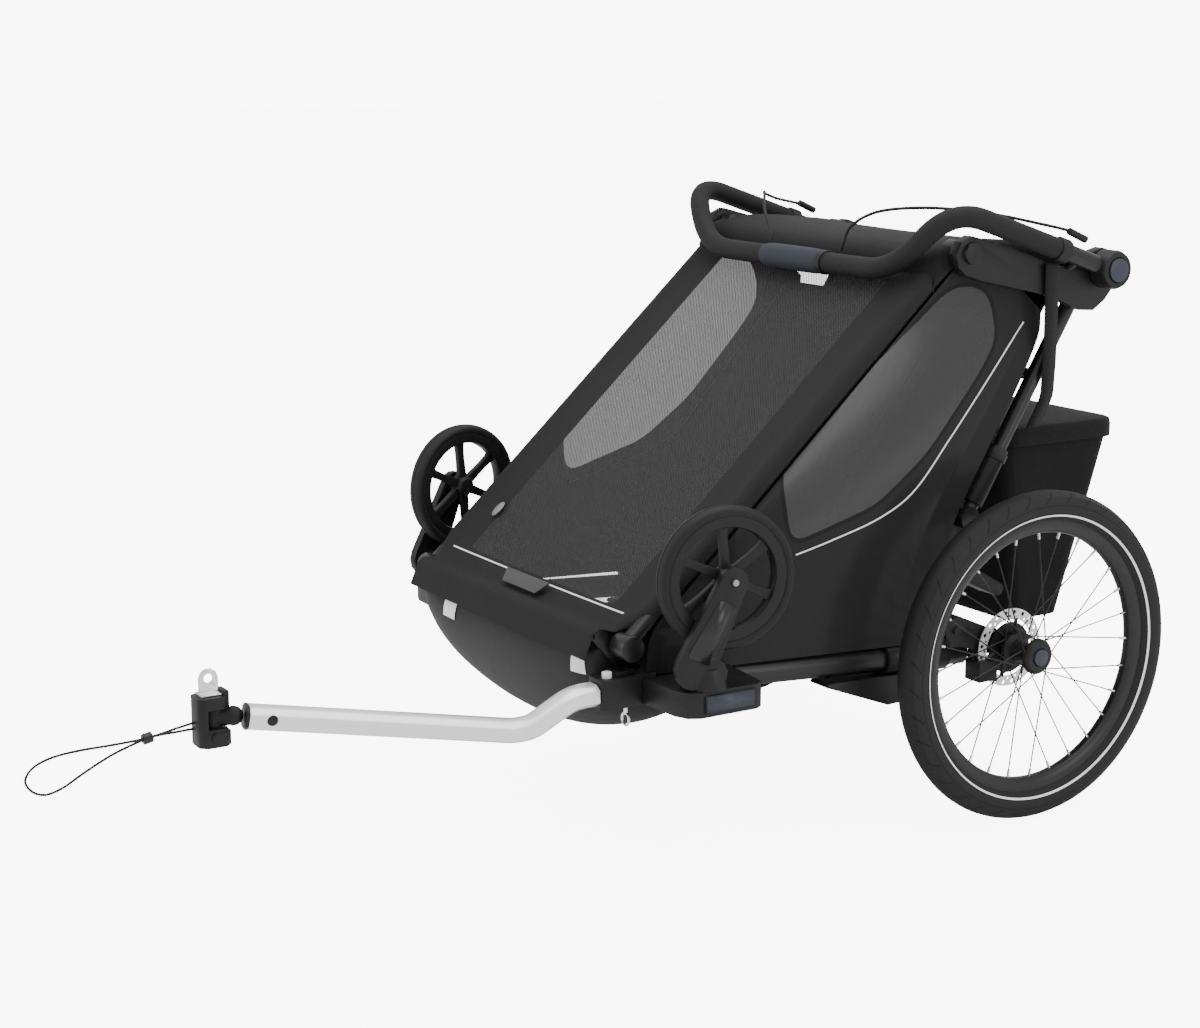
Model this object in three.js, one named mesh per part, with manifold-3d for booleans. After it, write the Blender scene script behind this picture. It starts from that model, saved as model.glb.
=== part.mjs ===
// A two-seat child bicycle trailer with a folding tube frame, a fabric cabin, spoked wheels and a tow arm.
// Millimetres, +Z up, the front faces -Y and the trailer's left side is +X.
// Everything is drawn with the wheel axle at y = 0 and the ground at z = 0. The last group moves the whole
// trailer along Y, so that the origin lies on the ground under the middle of its length.
import * as THREE from 'three';
import { mergeVertices } from 'three/addons/utils/BufferGeometryUtils.js';
import Module from 'manifold-3d';

const wasm = await Module();
wasm.setup();

// Driving dimensions
const AXLE_SHIFT = 468.5; // the axle lies this far behind the middle of the length
const GAP = 0.3; // clearance between pieces that touch
const WHEEL_RADIUS = 250;
const WHEEL_X = 380; // middle plane of a wheel
const RIM_RADIUS = 206;
const RIM_INNER = 190;
const TUBE_X = 284; // middle plane of the front tubes and the uprights
const SHEET = 3; // thickness of the fabric panels
const CABIN_HALF = 268; // half the width of the panels between the tubes
const BACK_HALF = 254; // half the width of the back panel, inside the uprights' lugs
const FOOT = [-658, 335]; // [y, z] of the lower hinge of the front tubes
const CROWN = [-95, 847]; // [y, z] of the hinge between the front tubes and the top rails
const HEEL = [-60, 450]; // [y, z] of the lower hinge of the uprights
const TAIL = [150, 790]; // [y, z] of the open joint between the uprights and the top rails
const BAR_PIVOT = [161, 812]; // [y, z] of the handlebar's pivot
const SWING_PIVOT = [-107, 291]; // [y, z] of the suspension arms' pivot
const FRONT_TUBE_RADIUS = 13;
const UPRIGHT_RADIUS = 12;
const SIDE_TUBE_RADIUS = 18.5;
const CASTER_RADIUS = 100;
const CASTER_STEM = [384, -590, 292]; // where the fork's stem enters the top of its bracket
const CASTER_TOE = THREE.MathUtils.degToRad(10);
const CASTER_HUB = [-14.6, 32.1, 146]; // wheel centre, from the stem, before the toe angle
const HITCH = [170, -1214]; // [x, y] of the hitch's vertical axis

const finish = (color, roughness, metalness = 0) => new THREE.MeshStandardMaterial({ color, roughness, metalness });
const FABRIC = finish(0x1b1b1c, 0.9);
const PALE_FABRIC = finish(0x3c3c3e, 0.85);
const WEBBING = finish(0x232324, 0.8);
const BLACK_PAINT = finish(0x1f1f20, 0.45, 0.2);
const PLASTIC = finish(0x202022, 0.55);
const SLATE_PLASTIC = finish(0x33363e, 0.5);
const WHITE_PLASTIC = finish(0xe9e9e6, 0.4);
const FOAM = finish(0x262627, 0.8);
const RUBBER = finish(0x1a1a1a, 0.8);
const BARE_ALUMINIUM = finish(0xd4d5d6, 0.35, 1);
const STEEL = finish(0xb9bbbd, 0.3, 1);
const CORD = finish(0x2a2a2c, 0.7);

const vec = (x, y, z) => new THREE.Vector3(x, y, z);
const lerp = THREE.MathUtils.lerp;
const along = ([y0, z0], [y1, z1], distance, offset = 0) => {
  const length = Math.hypot(y1 - y0, z1 - z0);
  const [dy, dz] = [(y1 - y0) / length, (z1 - z0) / length];
  return [y0 + dy * distance - dz * offset, z0 + dz * distance + dy * offset];
};

// Solids ------------------------------------------------------------------------------------------------

// The bare triangles of a geometry, with their faces pointing out.
function outward(geometry) {
  const loose = geometry.index ? geometry.toNonIndexed() : geometry.clone();
  const position = loose.attributes.position;
  const [a, b, c] = [vec(), vec(), vec()];
  let volume = 0;
  for (let i = 0; i < position.count; i += 3) {
    a.fromBufferAttribute(position, i);
    b.fromBufferAttribute(position, i + 1);
    c.fromBufferAttribute(position, i + 2);
    volume += a.dot(b.cross(c));
  }
  const bare = new THREE.BufferGeometry();
  bare.setAttribute('position', new THREE.BufferAttribute(Float32Array.from(position.array), 3));
  const merged = mergeVertices(bare);
  if (volume < 0) merged.index.array.reverse();
  return merged;
}

function toManifold(geometry) {
  const bare = outward(geometry);
  const vertProperties = Float32Array.from(bare.attributes.position.array);
  const triVerts = Uint32Array.from(bare.index.array);
  return new wasm.Manifold(new wasm.Mesh({ numProp: 3, vertProperties, triVerts }));
}

function toGeometry(manifold) {
  const mesh = manifold.getMesh();
  const geometry = new THREE.BufferGeometry();
  geometry.setAttribute('position', new THREE.BufferAttribute(Float32Array.from(mesh.vertProperties), 3));
  geometry.setIndex(Array.from(mesh.triVerts));
  return geometry;
}

const join = (...pieces) => toGeometry(pieces.map(toManifold).reduce((sum, piece) => sum.add(piece)));

const cut = (whole, ...tools) =>
  toGeometry(tools.map(toManifold).reduce((left, tool) => left.subtract(tool), toManifold(whole)));

const mirrored = (geometry) => outward(geometry.clone().scale(-1, 1, 1));

const polygon = (radius, sides) =>
  Array.from({ length: sides }, (_, k) => {
    const angle = ((k + 0.5) * 2 * Math.PI) / sides;
    return new THREE.Vector2(radius * Math.cos(angle), radius * Math.sin(angle));
  });

// A route of straight runs and round bends, with knots only at its ends and round its bends.
class Route extends THREE.Curve {
  constructor(corners, bend, arcSteps = 5) {
    super();
    this.knots = [corners[0]];
    for (let i = 1; i < corners.length - 1; i += 1) {
      const back = corners[i - 1].clone().sub(corners[i]);
      const on = corners[i + 1].clone().sub(corners[i]);
      const reach = Math.min(bend, back.length() / 2.2, on.length() / 2.2);
      const start = corners[i].clone().addScaledVector(back.normalize(), reach);
      const end = corners[i].clone().addScaledVector(on.normalize(), reach);
      const arc = new THREE.QuadraticBezierCurve3(start, corners[i], end);
      this.knots.push(...arc.getPoints(arcSteps));
    }
    this.knots.push(corners.at(-1));
  }

  get steps() {
    return this.knots.length - 1;
  }

  getPoint(t) {
    const place = t * this.steps;
    const i = Math.min(Math.floor(place), this.steps - 1);
    return this.knots[i].clone().lerp(this.knots[i + 1], place - i);
  }

  getPointAt(t) {
    return this.getPoint(t);
  }

  getTangentAt(t) {
    const i = Math.round(t * this.steps);
    const tangent = vec(0, 0, 0);
    if (i > 0) tangent.add(this.knots[i].clone().sub(this.knots[i - 1]).normalize());
    if (i < this.steps) tangent.add(this.knots[i + 1].clone().sub(this.knots[i]).normalize());
    return tangent.normalize();
  }
}

function sweep(route, outline, hole) {
  const shape = new THREE.Shape(outline);
  if (hole) shape.holes.push(new THREE.Path(hole));
  return outward(new THREE.ExtrudeGeometry(shape, { steps: route.steps, extrudePath: route }));
}

const pipe = (corners, radius, { bend = 0, sides = 12, hole = 0, arcSteps = 5 } = {}) =>
  sweep(new Route(corners, bend, arcSteps), polygon(radius, sides), hole && polygon(hole, sides));

// A cord or cable on one smooth curve through its points.
const cable = (points, radius, steps, sides = 8) =>
  outward(
    new THREE.ExtrudeGeometry(new THREE.Shape(polygon(radius, sides)), {
      steps,
      extrudePath: new THREE.CatmullRomCurve3(points, false, 'centripetal'),
    }),
  );

// An outline of [y, z] points given a thickness from x0 to x1, with round holes of [y, z, radius].
function plate(outline, x0, x1, holes = []) {
  const shape = new THREE.Shape(outline.map(([y, z]) => new THREE.Vector2(y, z)));
  for (const [y, z, radius] of holes) {
    const sides = radius < 4 ? 6 : 24;
    shape.holes.push(new THREE.Path(polygon(radius, sides).map((p) => p.add(new THREE.Vector2(y, z)))));
  }
  const geometry = new THREE.ExtrudeGeometry(shape, { depth: x1 - x0, bevelEnabled: false });
  const yzx = new THREE.Matrix4().makeBasis(vec(0, 1, 0), vec(0, 0, 1), vec(1, 0, 0));
  return outward(geometry.applyMatrix4(yzx.setPosition(x0, 0, 0)));
}

// An outline of [x, y] points given a height from z0 to z1.
function slab(outline, z0, z1, holes = []) {
  const shape = new THREE.Shape(outline.map(([x, y]) => new THREE.Vector2(x, y)));
  for (const [x, y, radius] of holes) {
    shape.holes.push(new THREE.Path(polygon(radius, 12).map((p) => p.add(new THREE.Vector2(x, y)))));
  }
  return outward(new THREE.ExtrudeGeometry(shape, { depth: z1 - z0, bevelEnabled: false }).translate(0, 0, z0));
}

// The outline round two circles, as of a link or lever.
function link([y0, z0], r0, [y1, z1], r1, steps = 5) {
  const heading = Math.atan2(z1 - z0, y1 - y0);
  const spread = Math.acos((r0 - r1) / Math.hypot(y1 - y0, z1 - z0));
  const arc = (y, z, radius, from, to) =>
    Array.from({ length: steps + 1 }, (_, k) => {
      const angle = lerp(from, to, k / steps);
      return [y + radius * Math.cos(angle), z + radius * Math.sin(angle)];
    });
  return [
    ...arc(y1, z1, r1, heading - spread, heading + spread),
    ...arc(y0, z0, r0, heading + spread, heading - spread + 2 * Math.PI),
  ];
}

// A round disc or pin along X.
const disc = (x0, x1, [y, z], radius, sides = 20) =>
  new THREE.CylinderGeometry(radius, radius, x1 - x0, sides).rotateZ(-Math.PI / 2).translate((x0 + x1) / 2, y, z);

const block = (x0, x1, y0, y1, z0, z1) =>
  new THREE.BoxGeometry(x1 - x0, y1 - y0, z1 - z0).translate((x0 + x1) / 2, (y0 + y1) / 2, (z0 + z1) / 2);

// A round solid turned about the X axis from [radius, x] points.
const turned = (profile, sides) =>
  outward(
    new THREE.LatheGeometry(
      profile.map(([radius, x]) => new THREE.Vector2(radius, x)),
      sides,
    ).rotateZ(-Math.PI / 2),
  );

// A grid of points thickened into a closed sheet.
function sheet(grid, thickness = SHEET) {
  const [rows, columns] = [grid.length, grid[0].length];
  const at = (i, j) => grid[THREE.MathUtils.clamp(i, 0, rows - 1)][THREE.MathUtils.clamp(j, 0, columns - 1)];
  const lifted = grid.map((row, i) =>
    row.map((point, j) => {
      const across = at(i + 1, j).clone().sub(at(i - 1, j));
      const down = at(i, j + 1).clone().sub(at(i, j - 1));
      return point.clone().addScaledVector(across.cross(down).normalize(), thickness);
    }),
  );
  const index = [];
  const low = (i, j) => i * columns + j;
  const high = (i, j) => rows * columns + low(i, j);
  const quad = (a, b, c, d) => index.push(a, b, c, a, c, d);
  for (let i = 0; i < rows - 1; i += 1) {
    for (let j = 0; j < columns - 1; j += 1) {
      quad(low(i, j), low(i, j + 1), low(i + 1, j + 1), low(i + 1, j));
      quad(high(i, j), high(i + 1, j), high(i + 1, j + 1), high(i, j + 1));
    }
  }
  for (let i = 0; i < rows - 1; i += 1) {
    quad(low(i, 0), low(i + 1, 0), high(i + 1, 0), high(i, 0));
    quad(low(i + 1, columns - 1), low(i, columns - 1), high(i, columns - 1), high(i + 1, columns - 1));
  }
  for (let j = 0; j < columns - 1; j += 1) {
    quad(low(0, j + 1), low(0, j), high(0, j), high(0, j + 1));
    quad(low(rows - 1, j), low(rows - 1, j + 1), high(rows - 1, j + 1), high(rows - 1, j));
  }
  const geometry = new THREE.BufferGeometry();
  const points = [...grid.flat(), ...lifted.flat()];
  geometry.setAttribute('position', new THREE.Float32BufferAttribute(points.flatMap((p) => p.toArray()), 3));
  geometry.setIndex(index);
  return outward(geometry);
}

// A sheet of one [y, z] profile right across the cabin.
const span = (profile, half, thickness = SHEET) =>
  sheet([-half, half].map((x) => profile.map(([y, z]) => vec(x, y, z))), thickness);

// A rounded rectangle of [x, y] points.
function roundedRect(x0, y0, x1, y1, radius, steps = 3) {
  const corners = [
    [x1 - radius, y1 - radius],
    [x0 + radius, y1 - radius],
    [x0 + radius, y0 + radius],
    [x1 - radius, y0 + radius],
  ];
  return corners.flatMap(([x, y], quarter) =>
    Array.from({ length: steps + 1 }, (_, k) => {
      const angle = ((quarter + k / steps) * Math.PI) / 2;
      return [x + radius * Math.cos(angle), y + radius * Math.sin(angle)];
    }),
  );
}

// A solid through two outlines with the same number of [x, y] points, at two heights.
function tapered(lower, z0, upper, z1) {
  const sides = lower.length;
  const points = [...lower.map(([x, y]) => [x, y, z0]), ...upper.map(([x, y]) => [x, y, z1])];
  const index = [];
  for (let k = 0; k < sides; k += 1) {
    const next = (k + 1) % sides;
    index.push(k, next, sides + next, k, sides + next, sides + k);
    if (k > 0 && k < sides - 1) index.push(0, k + 1, k, sides, sides + k, sides + k + 1);
  }
  const geometry = new THREE.BufferGeometry();
  geometry.setAttribute('position', new THREE.Float32BufferAttribute(points.flat(), 3));
  geometry.setIndex(index);
  return outward(geometry);
}

// Assembly ----------------------------------------------------------------------------------------------

const trailer = new THREE.Group();
const drawn = new THREE.Group();
drawn.position.y = AXLE_SHIFT;
trailer.add(drawn);

function add(name, geometry, material) {
  const mesh = new THREE.Mesh(geometry, material);
  mesh.name = name;
  drawn.add(mesh);
}

function pair(name, geometry, material) {
  add(`${name}_left`, geometry, material);
  add(`${name}_right`, mirrored(geometry), material);
}

// Floor frame -------------------------------------------------------------------------------------------

const SIDE_TUBE_FRONT = vec(TUBE_X, -612, 278);
const SIDE_TUBE_REAR = vec(TUBE_X, -60, 243);
pair('side_tube', pipe([SIDE_TUBE_FRONT, SIDE_TUBE_REAR], SIDE_TUBE_RADIUS, { sides: 16 }), BLACK_PAINT);

// The front bar carries a cheek at each end with the pin that the front tube turns on.
const BAR = [-683, 346]; // [y, z] of the front bar
const CHEEK = [257, 261.5]; // inner and outer face of a cheek
const cheek = plate(link(BAR, 11, [-628, 286], 14), ...CHEEK);
const hingePin = disc(CHEEK[0], TUBE_X - FRONT_TUBE_RADIUS - GAP, FOOT, 6, 12);
const frontBar = disc(-CHEEK[0] - 1, CHEEK[0] + 1, BAR, 10, 12);
add('front_bar', join(frontBar, cheek, hingePin, mirrored(cheek), mirrored(hingePin)), BLACK_PAINT);

// The footwell bulges down and forward between the side tubes, and runs back as the floor.
const TUB_HALF = 255;
const TUB_MIDDLE = [
  [-694, 330], [-706, 302], [-706, 270], [-692, 229], [-664, 191],
  [-632, 171], [-600, 178], [-574, 206], [-548, 234], [-510, 238], [-130, 238],
];
const TUB_EDGE = [
  [-672, 330], [-658, 302], [-643, 280], [-630, 262], [-620, 250],
  [-610, 245], [-600, 243], [-580, 241], [-548, 240], [-510, 240], [-130, 240],
];
const TUB_POWER = [7, 4.5, 3.6, 2.8, 2.3, 2.1, 2.2, 2.6, 3.5, 7, 7]; // how square each row's corners are
const tubGrid = Array.from({ length: 17 }, (_, i) => {
  const across = Math.sin(((i / 8 - 1) * Math.PI) / 2);
  return TUB_MIDDLE.map(([y, z], j) => {
    const depth = (1 - Math.abs(across) ** TUB_POWER[j]) ** (1 / TUB_POWER[j]);
    return vec(across * TUB_HALF, lerp(TUB_EDGE[j][0], y, depth), lerp(TUB_EDGE[j][1], z, depth));
  });
});
add('footwell_floor', sheet(tubGrid), PALE_FABRIC);

// Axle beam with the uprights' lugs, the saddles and sleeves on the side tubes, a wedge below each sleeve,
// and the spring adjusters.
const lug = plate(link(SWING_PIVOT, 22, HEEL, 18), 256, 268);
const heelPin = disc(260, 268.7, HEEL, 6, 12);
const saddle = plate(link(SWING_PIVOT, 20, [-100, 246], 16), 255, 264.9);
const adjuster = plate(link([-64, 367], 12, [-6, 336], 10), 262, 304);
const swingPin = disc(286, 303.6, SWING_PIVOT, 10, 12);
const onSideTube = (y) => SIDE_TUBE_FRONT.clone().lerp(SIDE_TUBE_REAR, (y - SIDE_TUBE_FRONT.y) / 552);
const sleeve = pipe([onSideTube(-214), onSideTube(-98)], 24, { hole: SIDE_TUBE_RADIUS + GAP, sides: 16 });
const wedge = plate([[-326, 230], [-322, 235], [-216, 231.5], [-180, 230], [-186, 206], [-191, 188], [-213, 187]], 262, 304);
const beamHalf = [lug, heelPin, saddle, adjuster, swingPin, sleeve, wedge];
const beam = disc(-292, 292, SWING_PIVOT, 16, 14);
add('axle_beam', join(beam, ...beamHalf, ...beamHalf.map(mirrored)), PLASTIC);

// Brackets at the front corners that hold the stroller wheels, each with a reflector block in its side.
const BRACKET = [
  [303.5, -642], [376, -638], [396, -630], [405, -614], [405, -522], [398, -510], [303.5, -500],
];
const bracketBody = slab(BRACKET, 256, CASTER_STEM[2], [[CASTER_STEM[0], CASTER_STEM[1], 9.4]]);
pair('caster_bracket', join(bracketBody, block(400, 408, -608, -527, 262, 287)), PLASTIC);

// Folding frame -----------------------------------------------------------------------------------------

const tubeBetween = (from, to, radius, sides = 14) =>
  pipe([vec(TUBE_X, ...from), vec(TUBE_X, ...to)], radius, { sides });

pair(
  'front_tube',
  join(
    tubeBetween(FOOT, CROWN, FRONT_TUBE_RADIUS),
    disc(TUBE_X - FRONT_TUBE_RADIUS, 305, FOOT, 18),
    disc(TUBE_X - FRONT_TUBE_RADIUS, 300 - GAP, CROWN, 17),
  ),
  BLACK_PAINT,
);

// Top rails, each with a round cap over its front hinge. Behind, the rail deepens round the handlebar's pivot.
const RAIL = [
  [-118, 828], [-122, 846], [-113, 864], [-95, 872], [-20, 852], [60, 824], [98, 812], [122, 824],
  [140, 838], [161, 843], [180, 837], [191, 822], [193, 804], [184, 782], [168, 764], [146, 750],
  [118, 752], [66, 775], [-76, 807], [-104, 816],
];
const railPlate = plate(RAIL, 302, 320);
pair('top_rail', join(railPlate, disc(300, 328, CROWN, 16)), PLASTIC);
add('top_cross_tube', disc(-302 + GAP, 302 - GAP, [104, 826], 11, 12), BLACK_PAINT);

// The uprights and the bar across them are one bent and welded frame.
const upright = join(
  tubeBetween(HEEL, TAIL, UPRIGHT_RADIUS),
  disc(269, 297, HEEL, 17),
  disc(272, 297, TAIL, 15),
);
const crossbar = disc(-TUBE_X, TUBE_X, along(HEEL, TAIL, 240), 9, 12);
add('upright_frame', join(crossbar, upright, mirrored(upright)), BLACK_PAINT);

const sleevePoint = (distance) => vec(TUBE_X, ...along(HEEL, TAIL, distance));
const sleeveTube = pipe([sleevePoint(24), sleevePoint(116)], 16.5, { hole: UPRIGHT_RADIUS + GAP, sides: 14 });
const sleeveClamp = pipe([sleevePoint(96), sleevePoint(110)], 19, { hole: UPRIGHT_RADIUS + GAP, sides: 14 });
pair('upright_sleeve', join(sleeveTube, sleeveClamp), PLASTIC);

// Cabin -------------------------------------------------------------------------------------------------

const coverPoint = (distance) => along(FOOT, CROWN, distance, 6.5);
add('front_cover', span([8, 230, 460, 690].map(coverPoint), CABIN_HALF), FABRIC);

const CANOPY = [[-138, 826], [-130, 845], [-108, 858], [-60, 867], [0, 865], [60, 857], [104, 847], [132, 830]];
add('canopy', span(CANOPY, CABIN_HALF), FABRIC);

const backPoint = (distance) => along(HEEL, TAIL, distance, 16);
add('back_panel', span([-178, 10, 200, 384].map(backPoint), BACK_HALF), FABRIC);

// The panels' front edges follow the tubes, and their rear edges follow the uprights.
const panelEdge = (distance) => along(FOOT, CROWN, distance, -15);
const SIDE_PANEL = [
  [-600, 290.5], [-222, 266.5], [-219, 276], [-136, 270.5], [-118, 380], [-94, 450], [-42, 540], [18, 640], [54, 712], [58, 752],
  [40, 786], [0, 806], [-60, 820], panelEdge(735), panelEdge(10),
];
pair('side_panel', plate(SIDE_PANEL, 298.5, 301.5), FABRIC);

// Seat and harnesses.
const SEAT_BACK = [[-172, 392], [12, 748]]; // foot and head of the backrest, [y, z]
const SEAT = [
  [-432, 330], [-430, 354], [-408, 368], [-240, 344], [-200, 352],
  SEAT_BACK[0], along(...SEAT_BACK, 200), SEAT_BACK[1],
];
add('seat', span(SEAT, 252, 16), FABRIC);

const strapBetween = (x0, distance0, x1, distance1, lift) =>
  sheet(
    [-15, 15].map((across) =>
      [[x0, distance0], [x1, distance1]].map(([x, distance]) =>
        vec(x + across, ...along(...SEAT_BACK, distance, lift)),
      ),
    ),
    3,
  );
const BUCKLE = 120; // distance of the buckle up the backrest
const harness = (middle) =>
  join(
    strapBetween(middle - 55, 330, middle - 8, BUCKLE, 26),
    strapBetween(middle + 55, 330, middle + 8, BUCKLE, 26),
    strapBetween(middle, BUCKLE, middle, 20, 26),
    new THREE.CylinderGeometry(24, 24, 14, 16)
      .rotateX(Math.atan2(SEAT_BACK[1][1] - SEAT_BACK[0][1], SEAT_BACK[1][0] - SEAT_BACK[0][0]) + Math.PI / 2)
      .translate(middle, ...along(...SEAT_BACK, BUCKLE, 27)),
  );
pair('harness', harness(126), WEBBING);

// Cargo bag: an open shell that tapers down behind the cabin, with a lipped lid.
const BAG_LOW = [-206, 104, 206, 214];
const BAG_HIGH = [-222, 66, 222, 294];
const WALL = 4;
const inset = ([x0, y0, x1, y1], by) => [x0 + by, y0 + by, x1 - by, y1 - by];
const bagOuter = tapered(roundedRect(...BAG_LOW, 24), 248, roundedRect(...BAG_HIGH, 24), 546);
const bagInner = tapered(
  roundedRect(...inset(BAG_LOW, WALL), 20), 248 + WALL, roundedRect(...inset(BAG_HIGH, WALL), 20), 550,
);
add('cargo_bag', cut(bagOuter, bagInner), FABRIC);
const lidOuter = slab(roundedRect(...inset(BAG_HIGH, -8), 30), 534, 562);
const lidInner = slab(roundedRect(...inset(BAG_HIGH, -2), 26), 530, 549);
add('cargo_lid', cut(lidOuter, lidInner), FABRIC);

// Webbing from each top rail down to the bag's front corner.
const STRAP = [
  [327, 54, 812], [323, 60, 745], [311, 71, 680], [303, 77, 650], [289, 88, 622], [268, 97, 596], [250, 104, 574],
];
const STRAP_HALF = 12.5;
const strapGrid = [-STRAP_HALF, STRAP_HALF].map((across) => STRAP.map(([x, y, z]) => vec(x, y + across, z)));
pair('bag_strap', sheet(strapGrid, 2), WEBBING);

// Handlebar ---------------------------------------------------------------------------------------------

const ARM_END = vec(335, ...BAR_PIVOT);
const UPPER_BEND = vec(328, -138, 914);
const LOWER_BEND = vec(238, -173, 818);
const onArm = (distance) => ARM_END.clone().lerp(UPPER_BEND, distance / ARM_END.distanceTo(UPPER_BEND));
const otherSide = (point) => vec(-point.x, point.y, point.z);
const barCorners = (start) => [start, UPPER_BEND, LOWER_BEND, ...[LOWER_BEND, UPPER_BEND, start].map(otherSide)];
const COLLAR = 106; // distance of the collars from the pivot
const BAR_BEND = 62;
const BUTTON_RADIUS = 13;
const PIVOT_BUTTON_RADIUS = 18;

const knob = cut(
  disc(322, 354, BAR_PIVOT, 29, 28),
  disc(347, 362, BAR_PIVOT, PIVOT_BUTTON_RADIUS + GAP, 16),
);
const armDetails = [knob, pipe([onArm(10), onArm(COLLAR)], 13.2), pipe([onArm(COLLAR - 12), onArm(COLLAR + 6)], 18.5)];
add(
  'handlebar_tube',
  cut(
    join(pipe(barCorners(ARM_END), 10.5, { bend: BAR_BEND, sides: 8, arcSteps: 4 }), ...armDetails, ...armDetails.map(mirrored)),
    disc(347, 362, BAR_PIVOT, PIVOT_BUTTON_RADIUS + GAP, 16),
    disc(-362, -347, BAR_PIVOT, PIVOT_BUTTON_RADIUS + GAP, 16),
  ),
  BLACK_PAINT,
);
add(
  'handlebar_foam',
  pipe(barCorners(onArm(COLLAR + 6 + GAP)), 15.5, { bend: BAR_BEND, hole: 11.8, sides: 8, arcSteps: 4 }),
  FOAM,
);
add('grip_sleeve', pipe([vec(-70, -173, 818), vec(70, -173, 818)], 19, { hole: 16, sides: 16 }), SLATE_PLASTIC);
pair('pivot_button', disc(352.5, 357, BAR_PIVOT, PIVOT_BUTTON_RADIUS, 16), SLATE_PLASTIC);

// Brake cables: out of the sleeve's end, up in an arch, and into a barrel on top of each arm.
const LEFT_CABLE = [
  [96, -158, 836], [100, -156, 850], [108, -148, 874], [138, -120, 896], [196, -70, 903], [262, -10, 896],
  [312, 46, 882], [332, 84, 872],
];
const RIGHT_CABLE = [
  [-84, -158, 836], [-88, -156, 850], [-112, -150, 882], [-150, -124, 906], [-196, -90, 902], [-262, -20, 888],
  [-314, 50, 876], [-332, 84, 870],
];
const barrelAt = (side) =>
  pipe([vec(side * 332.2, 82, 871.5), vec(side * 333.5, 116, 857)], 5, { sides: 8 });
const brakeCable = (points, side) =>
  join(cable(points.map((p) => vec(...p)), 2.4, 26, 6), barrelAt(side));
add('brake_cable_left', brakeCable(LEFT_CABLE, 1), CORD);
add('brake_cable_right', brakeCable(RIGHT_CABLE, -1), CORD);

// Suspension and wheels ---------------------------------------------------------------------------------

const AXLE = [0, WHEEL_RADIUS];
const AXLE_BORE = 8.4;
const ROTOR_X = WHEEL_X - 55;
const CALIPER = [-50, 226]; // [y, z] of the caliper's middle

// Each arm swings on the axle beam and carries the caliper that is bolted to it.
const swingArm = join(
  plate(link(SWING_PIVOT, 22, AXLE, 17), 304, 320),
  disc(319, 328, SWING_PIVOT, 20),
  disc(327, 332, SWING_PIVOT, 7, 6),
);
const caliper = cut(
  block(308, 341, CALIPER[0] - 20, CALIPER[0] + 14, CALIPER[1] - 18, CALIPER[1] + 12),
  disc(ROTOR_X - 3, ROTOR_X + 3, AXLE, 63, 32),
  disc(300, 350, AXLE, 37, 24),
);
const caliperMount = block(308, 318, CALIPER[0] - 16, CALIPER[0] + 10, CALIPER[1], CALIPER[1] + 34);
pair('suspension_arm', cut(join(swingArm, caliper, caliperMount), disc(300, 324, AXLE, AXLE_BORE, 12)), PLASTIC);

// Every wheel piece is turned about the X axis, and then moved to its place.
const atWheel = (geometry) => geometry.translate(WHEEL_X, ...AXLE);
const WHEEL_SIDES = 44;
const TYRE = [
  [RIM_RADIUS + GAP, -13], [225, -23], [240, -20], [WHEEL_RADIUS, -6],
  [WHEEL_RADIUS, 6], [240, 20], [225, 23], [RIM_RADIUS + GAP, 13], [RIM_RADIUS + GAP, -13],
];
pair('tyre', atWheel(turned(TYRE, WHEEL_SIDES)), RUBBER);

const RIM = [
  [RIM_INNER, -9], [RIM_RADIUS, -12.5], [RIM_RADIUS, 12.5], [RIM_INNER, 9], [RIM_INNER - 3, 0], [RIM_INNER, -9],
];
const HUB = [
  [0, -82], [8, -82], [8, -58], [15, -58], [15, -52], [25, -46], [25, -38], [17, -32], [17, 0],
  [26, 4], [26, 9], [21, 15], [BUTTON_RADIUS + GAP, 15], [BUTTON_RADIUS + GAP, 4], [0, 4],
];
const SPOKES = 28;
const SPOKE_LEAD = THREE.MathUtils.degToRad(62); // how far round the hub a spoke starts from its rim end
function spoke(k) {
  const rimAngle = (k * 2 * Math.PI) / SPOKES;
  const lead = k % 4 < 2 ? SPOKE_LEAD : -SPOKE_LEAD;
  const x = (k % 2 ? 6.5 : -41) + Math.sign(lead) * 1.6;
  const on = (radius, angle, place) => vec(place, radius * Math.cos(angle), radius * Math.sin(angle));
  return pipe([on(22, rimAngle + lead, x), on(RIM_INNER + 4, rimAngle, 0)], 1.4, { sides: 3 });
}
const spokes = Array.from({ length: SPOKES }, (_, k) => spoke(k));
pair('wheel', atWheel(join(turned(RIM, WHEEL_SIDES), turned(HUB, 16), ...spokes)), BLACK_PAINT);

// The rotor is bolted to a six-armed carrier against the hub's inner end.
const rotorRing = (outer, inner, holes) => plate(
  Array.from({ length: 32 }, (_, k) => [outer * Math.cos((k * Math.PI) / 16), outer * Math.sin((k * Math.PI) / 16)]),
  -1, 1,
  [[0, 0, inner], ...Array.from({ length: holes }, (_, k) => {
    const angle = (k * 2 * Math.PI) / holes;
    return [52.5 * Math.cos(angle), 52.5 * Math.sin(angle), 3];
  })],
);
const carrierArm = (k) =>
  block(-1, 1, 30, 46, -5, 5).rotateX((k * Math.PI) / 3);
const carrier = Array.from({ length: 6 }, (_, k) => carrierArm(k));
const carrierHub = cut(disc(-1, 1, [0, 0], 39, 32), disc(-2, 2, [0, 0], 15 + GAP, 20));
const rotor = cut(join(rotorRing(60, 44, 10), carrierHub, ...carrier), disc(-2, 2, [0, 0], 15 + GAP, 20));
pair('brake_rotor', rotor.translate(ROTOR_X, ...AXLE), STEEL);
pair('hub_button', atWheel(disc(9, 18, [0, 0], BUTTON_RADIUS, 16)), SLATE_PLASTIC);

// Stroller wheels ---------------------------------------------------------------------------------------

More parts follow.
